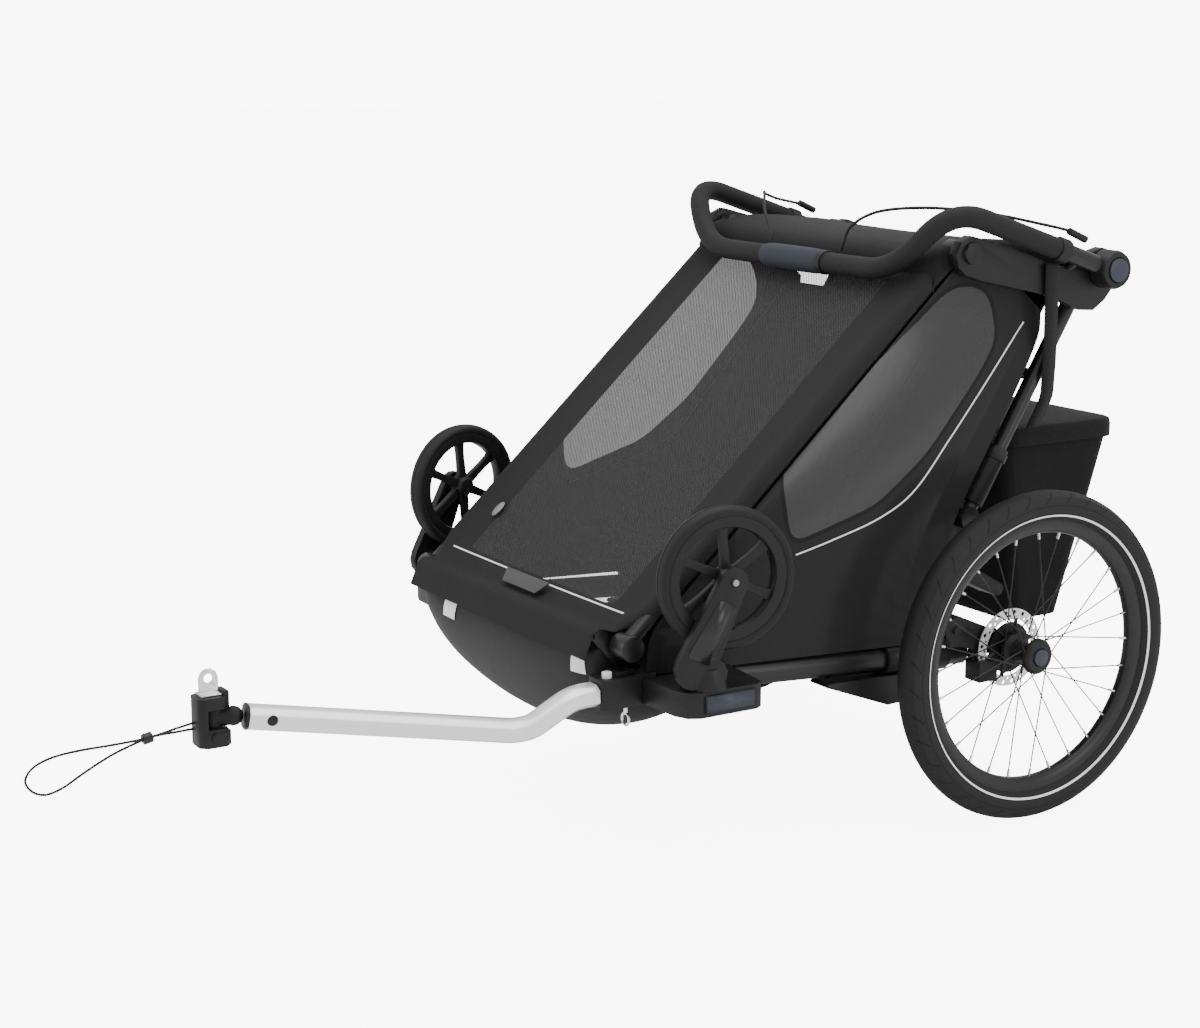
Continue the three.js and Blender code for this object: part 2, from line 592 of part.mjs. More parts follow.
const atStem = (geometry) => geometry.rotateZ(-CASTER_TOE).translate(...CASTER_STEM);
const [hubX, hubY, hubZ] = CASTER_HUB;
const FORK_ARM = [3.4, 17]; // inner and outer face of the fork's single arm
pair(
  'caster_fork',
  atStem(
    join(
      new THREE.CylinderGeometry(20, 28, 28, 20).rotateX(Math.PI / 2).translate(0, 0, 14 + GAP),
      new THREE.CylinderGeometry(9, 9, 34, 12).rotateX(Math.PI / 2).translate(0, 0, -16),
      plate(link([-14, 24], 23, [2, 22], 21), -18, FORK_ARM[1]),
      plate(link([-24, 30], 29, [hubY, hubZ], 20, 7), ...FORK_ARM),
      disc(FORK_ARM[1] - 1, FORK_ARM[1] + 2, [hubY, hubZ], 7, 12),
    ),
  ),
  PLASTIC,
);
const CASTER_TYRE = [
  [86, -13], [95, -14], [CASTER_RADIUS, -5], [CASTER_RADIUS, 5], [95, 14], [86, 13],
  [70, 11], [70, -11], [86, -13],
];
const CASTER_HUB_SECTION = [[0, -13], [13, -13], [16, -9], [16, 14], [12, 17.5], [0, 17.5]];
const casterSpoke = (k) => block(-6, 6, 10, 73, -3.5, 3.5).rotateX((k * Math.PI) / 3);
const casterSpokes = Array.from({ length: 6 }, (_, k) => casterSpoke(k));
const casterWheel = join(turned(CASTER_TYRE, 32), turned(CASTER_HUB_SECTION, 16), ...casterSpokes);
pair('caster_wheel', atStem(casterWheel.translate(hubX, hubY, hubZ)), RUBBER);

// Tow arm and hitch -------------------------------------------------------------------------------------

const SOCKET = [282, -706, -616, 275]; // x, front y, rear y and z of the receiver's socket
const [socketX, socketFront, socketRear, socketZ] = SOCKET;
const socketPin = (radius, z0, z1) =>
  new THREE.CylinderGeometry(radius, radius, z1 - z0, 12)
    .rotateX(Math.PI / 2)
    .translate(socketX, socketRear - 40, (z0 + z1) / 2);
const rod = (radius, y0, y1, sides = 14) =>
  new THREE.CylinderGeometry(radius, radius, y1 - y0, sides).translate(socketX, (y0 + y1) / 2, socketZ);
add(
  'arm_receiver',
  cut(
    join(
      slab(roundedRect(262, socketFront, 303, socketRear, 8), 254, 297),
      block(266, 292, socketRear - 62, socketRear - 30, 296, 303),
    ),
    rod(12.4, socketFront - 5, socketRear - 18),
    socketPin(3.4, 240, 310),
    new THREE.CylinderGeometry(7.4, 7.4, 12, 16).rotateX(Math.PI / 2).translate(288, -690, 297),
  ),
  PLASTIC,
);
add(
  'receiver_button',
  new THREE.CylinderGeometry(7, 7, 10, 16).rotateX(Math.PI / 2).translate(288, -690, 300),
  WHITE_PLASTIC,
);
add(
  'lock_pin',
  join(
    socketPin(3, 238, 300),
    new THREE.TorusGeometry(9, 1.8, 6, 14).rotateX(Math.PI / 2).rotateY(Math.PI / 2).translate(socketX, socketRear - 40, 231),
  ),
  STEEL,
);

// The arm drops out of its socket, levels out and rises gently forward and inward to the hitch.
const ARM_ROUTE = [
  [socketX, socketFront - 1.2, socketZ], [281, -742, 274], [272, -800, 240], [262, -822, 236], [184, -1172, 292],
];
const ARM_SECTION = [
  [-15, -9], [-9, -17.5], [9, -17.5], [15, -9], [15, 9], [9, 17.5], [-9, 17.5], [-15, 9],
].map(([across, up]) => new THREE.Vector2(across, up));
const armRoute = new Route(ARM_ROUTE.map((p) => vec(...p)), 34, 5);
const armEnd = armRoute.knots.at(-1);
const armHeading = armRoute.getTangentAt(1);
const beyondArm = (distance) => armEnd.clone().addScaledVector(armHeading, distance);
const ARM_BUTTON = beyondArm(-26);
const armButton = (radius, x0, x1) => disc(ARM_BUTTON.x + x0, ARM_BUTTON.x + x1, [ARM_BUTTON.y, ARM_BUTTON.z], radius, 16);
const spigot = rod(12, socketFront - 4, socketRear - 20);
add(
  'tow_arm',
  cut(
    join(sweep(armRoute, ARM_SECTION), spigot),
    armButton(7.4, 5, 30),
    socketPin(3.4, 240, 310),
  ),
  BARE_ALUMINIUM,
);
add('arm_button', armButton(7, 9.5, 17.5), PLASTIC);
add(
  'arm_plug',
  sweep(new Route([beyondArm(GAP), beyondArm(5)], 0), ARM_SECTION.map((p) => p.clone().multiplyScalar(1.06))),
  PLASTIC,
);

// The neck's round end lies against the plug, and its front eye is held between the jaws of the hitch.
const [hitchX, hitchY] = HITCH;
const NECK_BALL = beyondArm(18.8);
const NECK_END = vec(hitchX, hitchY, 294.5);
add(
  'hitch_neck',
  join(
    new THREE.SphereGeometry(13.2, 16, 12).translate(...NECK_BALL.toArray()),
    pipe([NECK_BALL, NECK_END], 12.2, { sides: 16 }),
    new THREE.CylinderGeometry(12.4, 12.4, 25, 16).rotateX(Math.PI / 2).translate(...NECK_END.toArray()),
  ),
  RUBBER,
);
const jaws = slab(roundedRect(hitchX - 18, hitchY - 25, hitchX + 18, hitchY + 16, 8), 260, 324);
const mouth = block(hitchX - 30, hitchX + 30, hitchY - 13, hitchY + 30, 281.5, 307.6);
const foot = slab(roundedRect(hitchX - 20, hitchY - 24, hitchX + 20, hitchY + 20, 9, 1), 258, 277);
const shoulder = block(hitchX - 13, hitchX + 13, hitchY + 10.4, hitchY + 18, 300, 330);
const bolt = disc(hitchX + 16, hitchX + 23, [hitchY - 3, 271], 7.5, 14);
add('hitch_body', join(cut(jaws, mouth), cut(shoulder, mouth), foot, bolt), PLASTIC);

// The ear is a bent steel plate that the bicycle's axle passes through.
const EAR = [hitchY - 4, 346];
const EAR_HOLE = 6;
const EAR_X = [hitchX - 4, hitchX - 1];
add(
  'hitch_ear',
  cut(
    join(
      plate(link([EAR[0], 330], 13.5, EAR, 13.5), ...EAR_X),
      block(hitchX - 15, hitchX + 10, hitchY - 18, hitchY + 10, 324 + GAP, 327),
    ),
    disc(EAR_X[0] - 2, EAR_X[1] + 2, EAR, EAR_HOLE, 16),
    block(hitchX - 40, hitchX + 40, hitchY - 40, hitchY + 40, 300, 324 + GAP),
  ),
  STEEL,
);

// Safety tether: a stiff cord in a loop, both ends in the hitch, with a bead that slides on both strands.
const TETHER_RADIUS = 1.7;
const TETHER = [
  [168, hitchY - 25 - GAP, 290], [168, -1262, 286.5], [167.8, -1290, 281.5], [167.4, -1312, 279], [167, -1350, 278],
  [166, -1392, 277.5], [165, -1426, 274], [164.5, -1450, 265], [164, -1461, 250], [164, -1454, 235],
  [164, -1437, 227], [164, -1414, 232], [163.6, -1385, 247], [163.2, -1349, 263.5], [162.8, -1312, 275],
  [162.4, -1290, 279], [162, -1262, 279.5], [162, hitchY - 25 - GAP, 280],
];
add('tether', cable(TETHER.map((p) => vec(...p)), TETHER_RADIUS, 58), CORD);
const BEAD_SPAN = [-1308, -1295];
const beadCore = pipe([vec(165, BEAD_SPAN[0], 277.6), vec(165, BEAD_SPAN[1], 279.9)], 7, { sides: 12 });
const channel = (points) => cable(points.map((p) => vec(...p)), TETHER_RADIUS + GAP + 0.4, 24);
add('tether_bead', cut(beadCore, channel(TETHER.slice(0, 6)), channel(TETHER.slice(-6))), PLASTIC);

export default trailer;
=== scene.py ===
# %% [markdown]
# # A child bicycle trailer
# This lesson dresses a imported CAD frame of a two-seat bicycle trailer. The frame brings the exact tubes,
# hinges and wheels. We add what CAD can't give well: stretched cloth, padded seats, foam, rubber and bright
# metal.

import math

import bmesh
import bpy
import numpy as np
from mathutils import Matrix, Vector
from mathutils.bvhtree import BVHTree


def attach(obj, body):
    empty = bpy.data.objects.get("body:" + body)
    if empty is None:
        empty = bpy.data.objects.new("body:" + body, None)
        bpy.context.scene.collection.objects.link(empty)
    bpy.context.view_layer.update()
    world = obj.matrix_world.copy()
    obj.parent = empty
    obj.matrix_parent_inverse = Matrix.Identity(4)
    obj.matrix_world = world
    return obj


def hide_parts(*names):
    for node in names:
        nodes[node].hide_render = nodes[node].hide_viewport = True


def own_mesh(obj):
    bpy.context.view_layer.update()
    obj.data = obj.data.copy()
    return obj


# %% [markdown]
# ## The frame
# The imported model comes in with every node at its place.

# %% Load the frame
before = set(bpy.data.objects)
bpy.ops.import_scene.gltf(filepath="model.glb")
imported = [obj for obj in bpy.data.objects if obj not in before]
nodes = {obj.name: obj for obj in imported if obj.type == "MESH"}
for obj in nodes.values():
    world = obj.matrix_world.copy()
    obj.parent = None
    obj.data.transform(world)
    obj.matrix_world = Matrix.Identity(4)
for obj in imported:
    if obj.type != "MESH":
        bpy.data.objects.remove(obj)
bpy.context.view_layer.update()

# %% [markdown]
# Lengths in this lesson are in millimetres with the wheel axle at y = 0, as in the CAD source. `place` turns
# such a point into Blender's metres in the row frame.

# %% Dimensions
AXLE_SHIFT = 468.5
AXLE = (0, 250)  # [y, z]
WHEEL_X = 380
FOOT, CROWN = (-658, 335), (-95, 847)  # lower and upper end of the front tubes, [y, z]
HEEL, TAIL = (-60, 450), (150, 790)  # lower and upper end of the uprights, [y, z]
BAR_PIVOT = (161, 812)
SIDES = {"left": 1, "right": -1}


def place(x, y, z):
    return Vector((x, y + AXLE_SHIFT, z)) / 1000


def along(start, end, distance, offset=0.0):
    """The [y, z] point this far along a line, and offset to its upper side."""
    length = math.dist(start, end)
    dy, dz = (end[0] - start[0]) / length, (end[1] - start[1]) / length
    return start[0] + dy * distance - dz * offset, start[1] + dz * distance + dy * offset


def mirrored(points):
    return [Vector((-p[0], p[1], p[2])) for p in points]


# %% [markdown]
# ## Camera
# A moderately long lens looks at the trailer from its front left corner, a little above its roof.

# %% Camera
camera_data = bpy.data.cameras.new("camera")
camera_data.lens = 68.4
camera_data.sensor_width = 36
camera = bpy.data.objects.new("camera", camera_data)
bpy.context.scene.collection.objects.link(camera)
AZIMUTH, ELEVATION = math.radians(58.447), math.radians(11.939)
back = Vector((
    math.sin(AZIMUTH) * math.cos(ELEVATION),
    -math.cos(AZIMUTH) * math.cos(ELEVATION),
    math.sin(ELEVATION),
))
camera.location = (2.835, -2.265 + AXLE_SHIFT / 1000, 1.158)
camera.rotation_mode = "QUATERNION"
camera.rotation_quaternion = (-back).to_track_quat("-Z", "Y")
camera_data.clip_end = 100
bpy.context.scene.camera = camera
print("camera at", [round(v, 3) for v in camera.location])

# %% [markdown]
# ## Shader node groups
# Each group makes one effect that several materials share. `Weave` gives the height of crossed threads, `Net`
# says where the threads of a net are, `Mottle` varies a roughness, and `Creases` gives the height of soft
# wrinkles.

# %% Node helpers


def new_group(name, inputs, outputs):
    group = bpy.data.node_groups.new(name, "ShaderNodeTree")
    for title, kind, default in inputs:
        socket = group.interface.new_socket(title, in_out="INPUT", socket_type=kind)
        if default is not None:
            socket.default_value = default
    for title, kind in outputs:
        group.interface.new_socket(title, in_out="OUTPUT", socket_type=kind)
    return group, group.nodes.new("NodeGroupInput"), group.nodes.new("NodeGroupOutput")


def maths(tree, operation, *values, clamp=False):
    node = tree.nodes.new("ShaderNodeMath")
    node.operation = operation
    node.use_clamp = clamp
    for socket, value in zip(node.inputs, values):
        if isinstance(value, (int, float)):
            socket.default_value = value
        else:
            tree.links.new(value, socket)
    return node.outputs[0]


def smooth_step(tree, value, low, high):
    node = tree.nodes.new("ShaderNodeMapRange")
    node.interpolation_type = "SMOOTHSTEP"
    tree.links.new(value, node.inputs["Value"])
    for title, bound in (("From Min", low), ("From Max", high)):
        if isinstance(bound, (int, float)):
            node.inputs[title].default_value = bound
        else:
            tree.links.new(bound, node.inputs[title])
    return node.outputs["Result"]


def noise(tree, vector, scale, detail=3.0, roughness=0.5):
    node = tree.nodes.new("ShaderNodeTexNoise")
    node.inputs["Scale"].default_value = scale
    node.inputs["Detail"].default_value = detail
    node.inputs["Roughness"].default_value = roughness
    tree.links.new(vector, node.inputs["Vector"])
    return node.outputs["Fac"]


# %% Weave
weave, given, made = new_group(
    "Weave",
    [("Vector", "NodeSocketVector", None), ("Pitch", "NodeSocketFloat", 0.001)],
    [("Height", "NodeSocketFloat")],
)
split = weave.nodes.new("ShaderNodeSeparateXYZ")
weave.links.new(given.outputs["Vector"], split.inputs[0])
turns = maths(weave, "DIVIDE", math.pi, given.outputs["Pitch"])
warp = maths(weave, "SINE", maths(weave, "MULTIPLY", split.outputs[0], turns))
weft = maths(weave, "SINE", maths(weave, "MULTIPLY", split.outputs[1], turns))
height = maths(weave, "MULTIPLY", warp, weft)
weave.links.new(maths(weave, "MULTIPLY_ADD", height, 0.5, 0.5), made.inputs["Height"])

# %% Net
net, given, made = new_group(
    "Net",
    [
        ("Vector", "NodeSocketVector", None),
        ("Pitch", "NodeSocketFloat", 0.004),
        ("Thread", "NodeSocketFloat", 0.5),
    ],
    [("Cloth", "NodeSocketFloat"), ("Height", "NodeSocketFloat")],
)
split = net.nodes.new("ShaderNodeSeparateXYZ")
net.links.new(given.outputs["Vector"], split.inputs[0])
across = maths(net, "DIVIDE", split.outputs[0], given.outputs["Pitch"])
up = maths(net, "DIVIDE", split.outputs[1], given.outputs["Pitch"])
ripple_a = maths(net, "SINE", maths(net, "MULTIPLY", maths(net, "ADD", across, up), math.pi))
ripple_b = maths(net, "SINE", maths(net, "MULTIPLY", maths(net, "SUBTRACT", across, up), math.pi))
solid = maths(net, "MAXIMUM", maths(net, "ABSOLUTE", ripple_a), maths(net, "ABSOLUTE", ripple_b))
low_edge = maths(net, "SUBTRACT", given.outputs["Thread"], 0.12)
high_edge = maths(net, "ADD", given.outputs["Thread"], 0.12)
net.links.new(smooth_step(net, solid, low_edge, high_edge), made.inputs["Cloth"])
net.links.new(solid, made.inputs["Height"])

# %% Mottle
mottle, given, made = new_group(
    "Mottle",
    [
        ("Vector", "NodeSocketVector", None),
        ("Middle", "NodeSocketFloat", 0.5),
        ("Spread", "NodeSocketFloat", 0.1),
    ],
    [("Roughness", "NodeSocketFloat"), ("Height", "NodeSocketFloat")],
)
coarse = noise(mottle, given.outputs["Vector"], 9, 4)
fine = noise(mottle, given.outputs["Vector"], 900, 2)
swing = maths(mottle, "MULTIPLY", maths(mottle, "SUBTRACT", coarse, 0.5), given.outputs["Spread"])
mottle.links.new(maths(mottle, "ADD", given.outputs["Middle"], swing, clamp=True), made.inputs["Roughness"])
mottle.links.new(fine, made.inputs["Height"])

# %% Creases
creases, given, made = new_group(
    "Creases",
    [("Vector", "NodeSocketVector", None), ("Depth", "NodeSocketFloat", 1.0)],
    [("Height", "NodeSocketFloat")],
)
broad = noise(creases, given.outputs["Vector"], 5, 2)
narrow = noise(creases, given.outputs["Vector"], 22, 3)
total = maths(creases, "ADD", broad, maths(creases, "MULTIPLY", narrow, 0.25))
creases.links.new(maths(creases, "MULTIPLY", total, given.outputs["Depth"]), made.inputs["Height"])
print("node groups:", ", ".join(group.name for group in (weave, net, mottle, creases)))

# %% [markdown]
# ## Materials
# Every material starts from one Principled shader with a mottled roughness and a fine grain. Cloth adds
# threads and creases on top, and the net and the tinted film let some light through.

# %% Material helpers


class Look:
    """A material with its Principled shader, and short ways to add to it."""

    def __init__(self, name, colour, roughness, metallic=0.0, spread=0.15, grain=0.00003, shine=0.5):
        self.material = bpy.data.materials.new(name)
        self.material.use_nodes = True
        self.tree = self.material.node_tree
        self.shader = self.tree.nodes["Principled BSDF"]
        self.shader.inputs["Base Color"].default_value = (*colour, 1)
        self.shader.inputs["Metallic"].default_value = metallic
        self.shader.inputs["Specular IOR Level"].default_value = shine
        self.shader.inputs["Coat Roughness"].default_value = 0.15
        self.where = self.tree.nodes.new("ShaderNodeTexCoord")
        surface = self.group(mottle, Middle=roughness, Spread=spread)
        self.link(self.where.outputs["Object"], surface.inputs["Vector"])
        self.link(surface.outputs["Roughness"], self.shader.inputs["Roughness"])
        self.normal = None
        if grain:
            self.bump(surface.outputs["Height"], grain)

    def link(self, start, end):
        self.tree.links.new(start, end)

    def group(self, tree, **values):
        node = self.tree.nodes.new("ShaderNodeGroup")
        node.node_tree = tree
        for title, value in values.items():
            node.inputs[title].default_value = value
        return node

    def bump(self, height, distance):
        node = self.tree.nodes.new("ShaderNodeBump")
        node.inputs["Strength"].default_value = 1
        node.inputs["Distance"].default_value = distance
        self.link(height, node.inputs["Height"])
        if self.normal:
            self.link(self.normal, node.inputs["Normal"])
        self.normal = node.outputs["Normal"]
        self.link(self.normal, self.shader.inputs["Normal"])

    def attribute(self, name):
        node = self.tree.nodes.new("ShaderNodeAttribute")
        node.attribute_name = name
        return node.outputs["Fac"]

    def mix(self, factor, first, second):
        node = self.tree.nodes.new("ShaderNodeMix")
        node.data_type = "RGBA"
        self.link(factor, node.inputs[0])
        for socket, value in ((node.inputs[6], first), (node.inputs[7], second)):
            if isinstance(value, tuple):
                socket.default_value = (*value, 1)
            else:
                self.link(value, socket)
        return node.outputs[2]


def cloth(name, colour, roughness=0.85, pitch=0.0011, thread=0.00012, crease=0.004, sheen=0.04, shine=0.18):
    look = Look(name, colour, roughness, spread=0.1, grain=0, shine=shine)
    threads = look.group(weave, Pitch=pitch)
    look.link(look.where.outputs["UV"], threads.inputs["Vector"])
    look.bump(threads.outputs["Height"], thread)
    wrinkles = look.group(creases, Depth=1.0)
    look.link(look.where.outputs["Object"], wrinkles.inputs["Vector"])
    look.bump(wrinkles.outputs["Height"], crease)
    look.shader.inputs["Sheen Weight"].default_value = sheen
    look.shader.inputs["Sheen Roughness"].default_value = 0.5
    return look


# %% Hard materials
black_paint = Look("black_paint", (0.008, 0.008, 0.0085), 0.36, shine=0.42).material
black_plastic = Look("black_plastic", (0.009, 0.009, 0.0095), 0.46, grain=0.00006, shine=0.3).material
glossy_plastic = Look("glossy_plastic", (0.007, 0.007, 0.0075), 0.25, shine=0.45).material
slate_plastic = Look("slate_plastic", (0.030, 0.035, 0.050), 0.42, shine=0.4).material
slate_rubber = Look("slate_rubber", (0.024, 0.028, 0.040), 0.62, shine=0.3).material
white_plastic = Look("white_plastic", (0.85, 0.85, 0.83), 0.3).material
foam = Look("foam", (0.012, 0.012, 0.0125), 0.72, grain=0.00015, shine=0.3).material
rubber = Look("rubber", (0.009, 0.009, 0.0095), 0.6, grain=0.00008, shine=0.3).material
satin_aluminium = Look("satin_aluminium", (0.93, 0.93, 0.94), 0.3, metallic=0.6, spread=0.08).material
dull_aluminium = Look("dull_aluminium", (0.35, 0.35, 0.36), 0.4, metallic=0.9).material
bright_steel = Look("bright_steel", (0.85, 0.85, 0.86), 0.25, metallic=1.0).material
cord_sheath = Look("cord_sheath", (0.014, 0.014, 0.015), 0.55, shine=0.3).material
reflective_white = Look("reflective_white", (0.92, 0.93, 0.93), 0.4, spread=0.05, grain=0).material

# %% Cloths
black_cloth = cloth("black_cloth", (0.009, 0.009, 0.0095)).material
seat_cloth = cloth("seat_cloth", (0.008, 0.008, 0.0085), crease=0.006).material
bag_cloth = cloth("bag_cloth", (0.009, 0.009, 0.0095), crease=0.008).material
webbing = cloth(
    "webbing", (0.014, 0.014, 0.015), roughness=0.75, pitch=0.0016, thread=0.0003, crease=0.001,
).material
tub_cloth = cloth("tub_cloth", (0.017, 0.017, 0.018), roughness=0.55, thread=0.00003, crease=0.002).material

# %% Tyre rubber with short slanted grooves on its shoulders, with painted shade in the grooves
GROOVES = 38  # round the tyre
GROOVE_SLANT = 32  # turns of the pattern per metre towards the shoulder
SHOULDER_IN, SHOULDER_OUT, BEAD_LINE = 0.234, 0.247, 0.2305  # metres from the axle
# The second colour is painted shade, laid in the grooves and along the bead line.
RUBBER, GROOVE_SHADE = (0.011, 0.011, 0.0115), (0.002, 0.002, 0.002)
tread_look = Look("tread_rubber", RUBBER, 0.62, grain=0.0001, shine=0.3)
tree = tread_look.tree
polar = tree.nodes.new("ShaderNodeSeparateXYZ")
tread_look.link(tread_look.where.outputs["UV"], polar.inputs[0])
slant = maths(tree, "MULTIPLY", maths(tree, "SUBTRACT", polar.outputs[1], 0.24), GROOVE_SLANT)
turn = maths(tree, "FRACT", maths(tree, "ADD", maths(tree, "MULTIPLY", polar.outputs[0], GROOVES), slant))
groove = smooth_step(tree, maths(tree, "ABSOLUTE", maths(tree, "SUBTRACT", turn, 0.5)), 0.045, 0.03)
on_shoulder = maths(
    tree, "MULTIPLY",
    smooth_step(tree, polar.outputs[1], SHOULDER_IN - 0.0005, SHOULDER_IN + 0.0005),
    smooth_step(tree, polar.outputs[1], SHOULDER_OUT + 0.0005, SHOULDER_OUT - 0.0005),
)
groove = maths(tree, "MULTIPLY", groove, on_shoulder)
from_bead = maths(tree, "ABSOLUTE", maths(tree, "SUBTRACT", polar.outputs[1], BEAD_LINE))
groove_cut_and_shade = maths(tree, "MAXIMUM", groove, smooth_step(tree, from_bead, 0.0006, 0.0003))
# The grooves and the bead line are bumped in and also painted darker than the rubber: painted shade in the
# recesses.
tread_look.link(tread_look.mix(groove_cut_and_shade, RUBBER, GROOVE_SHADE), tread_look.shader.inputs["Base Color"])
tread_look.bump(maths(tree, "SUBTRACT", 1.0, groove_cut_and_shade), 0.0012)
tread_rubber = tread_look.material

# %% [markdown]
# The front cover is a net with solid borders. Its UV map holds metres across and along the cover, so the
# borders and the pale line near its foot are plain distances. The side panels hold a tinted window: an
# attribute on the panel says how far each point is from the window's edge.

# %% Front cover material
COVER_NET_HALF, COVER_HEM_HALF = 0.212, 0.261  # half the width of the net, and of the pale line
COVER_NET_FOOT, COVER_NET_HEAD, PALE_LINE = 0.1015, 0.740, 0.0945  # metres from the foot
NET_CLOTH, BORDER_CLOTH, PALE = (0.036, 0.036, 0.037), (0.015, 0.015, 0.0155), (0.9, 0.9, 0.9)
net_look = Look("cover_net", (0.02, 0.02, 0.021), 0.75, spread=0.08, grain=0, shine=0.2)
mesh_pattern = net_look.group(net, Pitch=0.0042, Thread=0.80)
net_look.link(net_look.where.outputs["UV"], mesh_pattern.inputs["Vector"])
parts = net_look.tree.nodes.new("ShaderNodeSeparateXYZ")
net_look.link(net_look.where.outputs["UV"], parts.inputs[0])
tree = net_look.tree
sideways = maths(tree, "ABSOLUTE", parts.outputs[0])
border = maths(
    tree, "MAXIMUM",
    smooth_step(tree, sideways, COVER_NET_HALF - 0.001, COVER_NET_HALF + 0.001),
    maths(
        tree, "MAXIMUM",
        smooth_step(tree, parts.outputs[1], COVER_NET_FOOT + 0.0015, COVER_NET_FOOT - 0.0015),
        smooth_step(tree, parts.outputs[1], COVER_NET_HEAD - 0.002, COVER_NET_HEAD + 0.002),
    ),
)
line_distance = maths(tree, "ABSOLUTE", maths(tree, "SUBTRACT", parts.outputs[1], PALE_LINE))
pale = maths(
    tree, "MULTIPLY",
    smooth_step(tree, line_distance, 0.0016, 0.0010),
    smooth_step(tree, sideways, COVER_HEM_HALF + 0.001, COVER_HEM_HALF - 0.001),
)
threads_colour = net_look.mix(border, NET_CLOTH, BORDER_CLOTH)
net_look.link(net_look.mix(pale, threads_colour, PALE), net_look.shader.inputs["Base Color"])
opaque = maths(tree, "MAXIMUM", mesh_pattern.outputs["Cloth"], border)
net_look.link(maths(tree, "MAXIMUM", opaque, 0.66), net_look.shader.inputs["Alpha"])
net_look.bump(mesh_pattern.outputs["Height"], 0.0003)
cover_net = net_look.material

# %% Side panel material
PANEL_CLOTH, SEAM, FILM = (0.009, 0.009, 0.0095), (0.002, 0.002, 0.002), (0.030, 0.030, 0.031)
FILM_CLEAR = 0.14  # the share of light that the window lets through
panel_look = cloth("side_cloth", PANEL_CLOTH, roughness=0.7, crease=0.003)
tree = panel_look.tree
window_distance = panel_look.attribute("window")
inside = smooth_step(tree, window_distance, 0.0006, -0.0006)
seam = maths(
    tree, "MULTIPLY",
    smooth_step(tree, window_distance, 0.007, 0.006),
    smooth_step(tree, window_distance, -0.001, 0.0),
)
body_colour = panel_look.mix(seam, PANEL_CLOTH, SEAM)
film_colour = panel_look.mix(inside, body_colour, FILM)
panel_look.link(film_colour, panel_look.shader.inputs["Base Color"])
film_alpha = maths(tree, "SUBTRACT", 1.0, maths(tree, "MULTIPLY", inside, FILM_CLEAR))
panel_look.link(film_alpha, panel_look.shader.inputs["Alpha"])
mixed_roughness = maths(tree, "SUBTRACT", 0.7, maths(tree, "MULTIPLY", inside, 0.5))
panel_look.link(mixed_roughness, panel_look.shader.inputs["Roughness"])
panel_look.link(maths(tree, "MULTIPLY_ADD", inside, 0.5, 0.15), panel_look.shader.inputs["Coat Weight"])
side_cloth = panel_look.material
pale_piping = Look("pale_piping", (0.85, 0.85, 0.85), 0.6).material

# %% Rotor material: a ring with rows of drilled holes
rotor_look = Look("rotor_steel", (0.95, 0.95, 0.96), 0.4, metallic=0.6)
tree = rotor_look.tree
polar = tree.nodes.new("ShaderNodeSeparateXYZ")
rotor_look.link(rotor_look.where.outputs["UV"], polar.inputs[0])


def hole_mask(count, phase, radius, size):
    turn = maths(tree, "FRACT", maths(tree, "ADD", maths(tree, "MULTIPLY", polar.outputs[0], count), phase))
    sideways = maths(tree, "MULTIPLY", maths(tree, "SUBTRACT", turn, 0.5), 2 * math.pi * radius / count)
    outwards = maths(tree, "SUBTRACT", polar.outputs[1], radius)
    square = maths(tree, "ADD", maths(tree, "POWER", maths(tree, "ABSOLUTE", sideways), 2),
                   maths(tree, "POWER", maths(tree, "ABSOLUTE", outwards), 2))
    return smooth_step(tree, maths(tree, "SQRT", square), size, size + 0.0003)


holes = maths(tree, "MINIMUM", hole_mask(20, 0.0, 0.0545, 0.0030), hole_mask(20, 0.5, 0.0485, 0.0020))
rotor_look.link(holes, rotor_look.shader.inputs["Alpha"])
rotor_steel = rotor_look.material
print(len(bpy.data.materials), "materials")

# %% [markdown]
# ## Dressing the CAD nodes
# The CAD solids are faceted. A weld, a small bevel and smooth shading by angle give them the soft edges of
# moulded and welded parts. The solids themselves stay as they are.

# %% Smooth shading by angle
smooth_tree = bpy.data.node_groups.new("smooth_by_angle", "GeometryNodeTree")
smooth_tree.interface.new_socket("Geometry", in_out="INPUT", socket_type="NodeSocketGeometry")
smooth_tree.interface.new_socket("Geometry", in_out="OUTPUT", socket_type="NodeSocketGeometry")
came, went = smooth_tree.nodes.new("NodeGroupInput"), smooth_tree.nodes.new("NodeGroupOutput")
faces_smooth = smooth_tree.nodes.new("GeometryNodeSetShadeSmooth")
edges_sharp = smooth_tree.nodes.new("GeometryNodeSetShadeSmooth")
edges_sharp.domain = "EDGE"
edges_sharp.inputs["Shade Smooth"].default_value = False
edge_angle = smooth_tree.nodes.new("GeometryNodeInputMeshEdgeAngle")
is_sharp = smooth_tree.nodes.new("FunctionNodeCompare")
is_sharp.operation = "GREATER_THAN"
is_sharp.inputs[1].default_value = math.radians(38)
smooth_tree.links.new(came.outputs[0], faces_smooth.inputs["Geometry"])
smooth_tree.links.new(faces_smooth.outputs[0], edges_sharp.inputs["Geometry"])
smooth_tree.links.new(edge_angle.outputs["Unsigned Angle"], is_sharp.inputs[0])
smooth_tree.links.new(is_sharp.outputs[0], edges_sharp.inputs["Selection"])
smooth_tree.links.new(edges_sharp.outputs[0], went.inputs[0])


def dress(node, material, bevel=0.0008):
    obj = nodes[node]
    obj.data.materials.clear()
    obj.data.materials.append(material)
    if "custom_normal" in obj.data.attributes:
        obj.data.attributes.remove(obj.data.attributes["custom_normal"])
    obj.modifiers.new("weld", "WELD").merge_threshold = 0.00002
    if bevel:
        edge = obj.modifiers.new("bevel", "BEVEL")
        edge.width = bevel
        edge.segments = 2
        edge.limit_method = "ANGLE"
        edge.angle_limit = math.radians(38)
        edge.use_clamp_overlap = True
    obj.modifiers.new("smooth", "NODES").node_group = smooth_tree


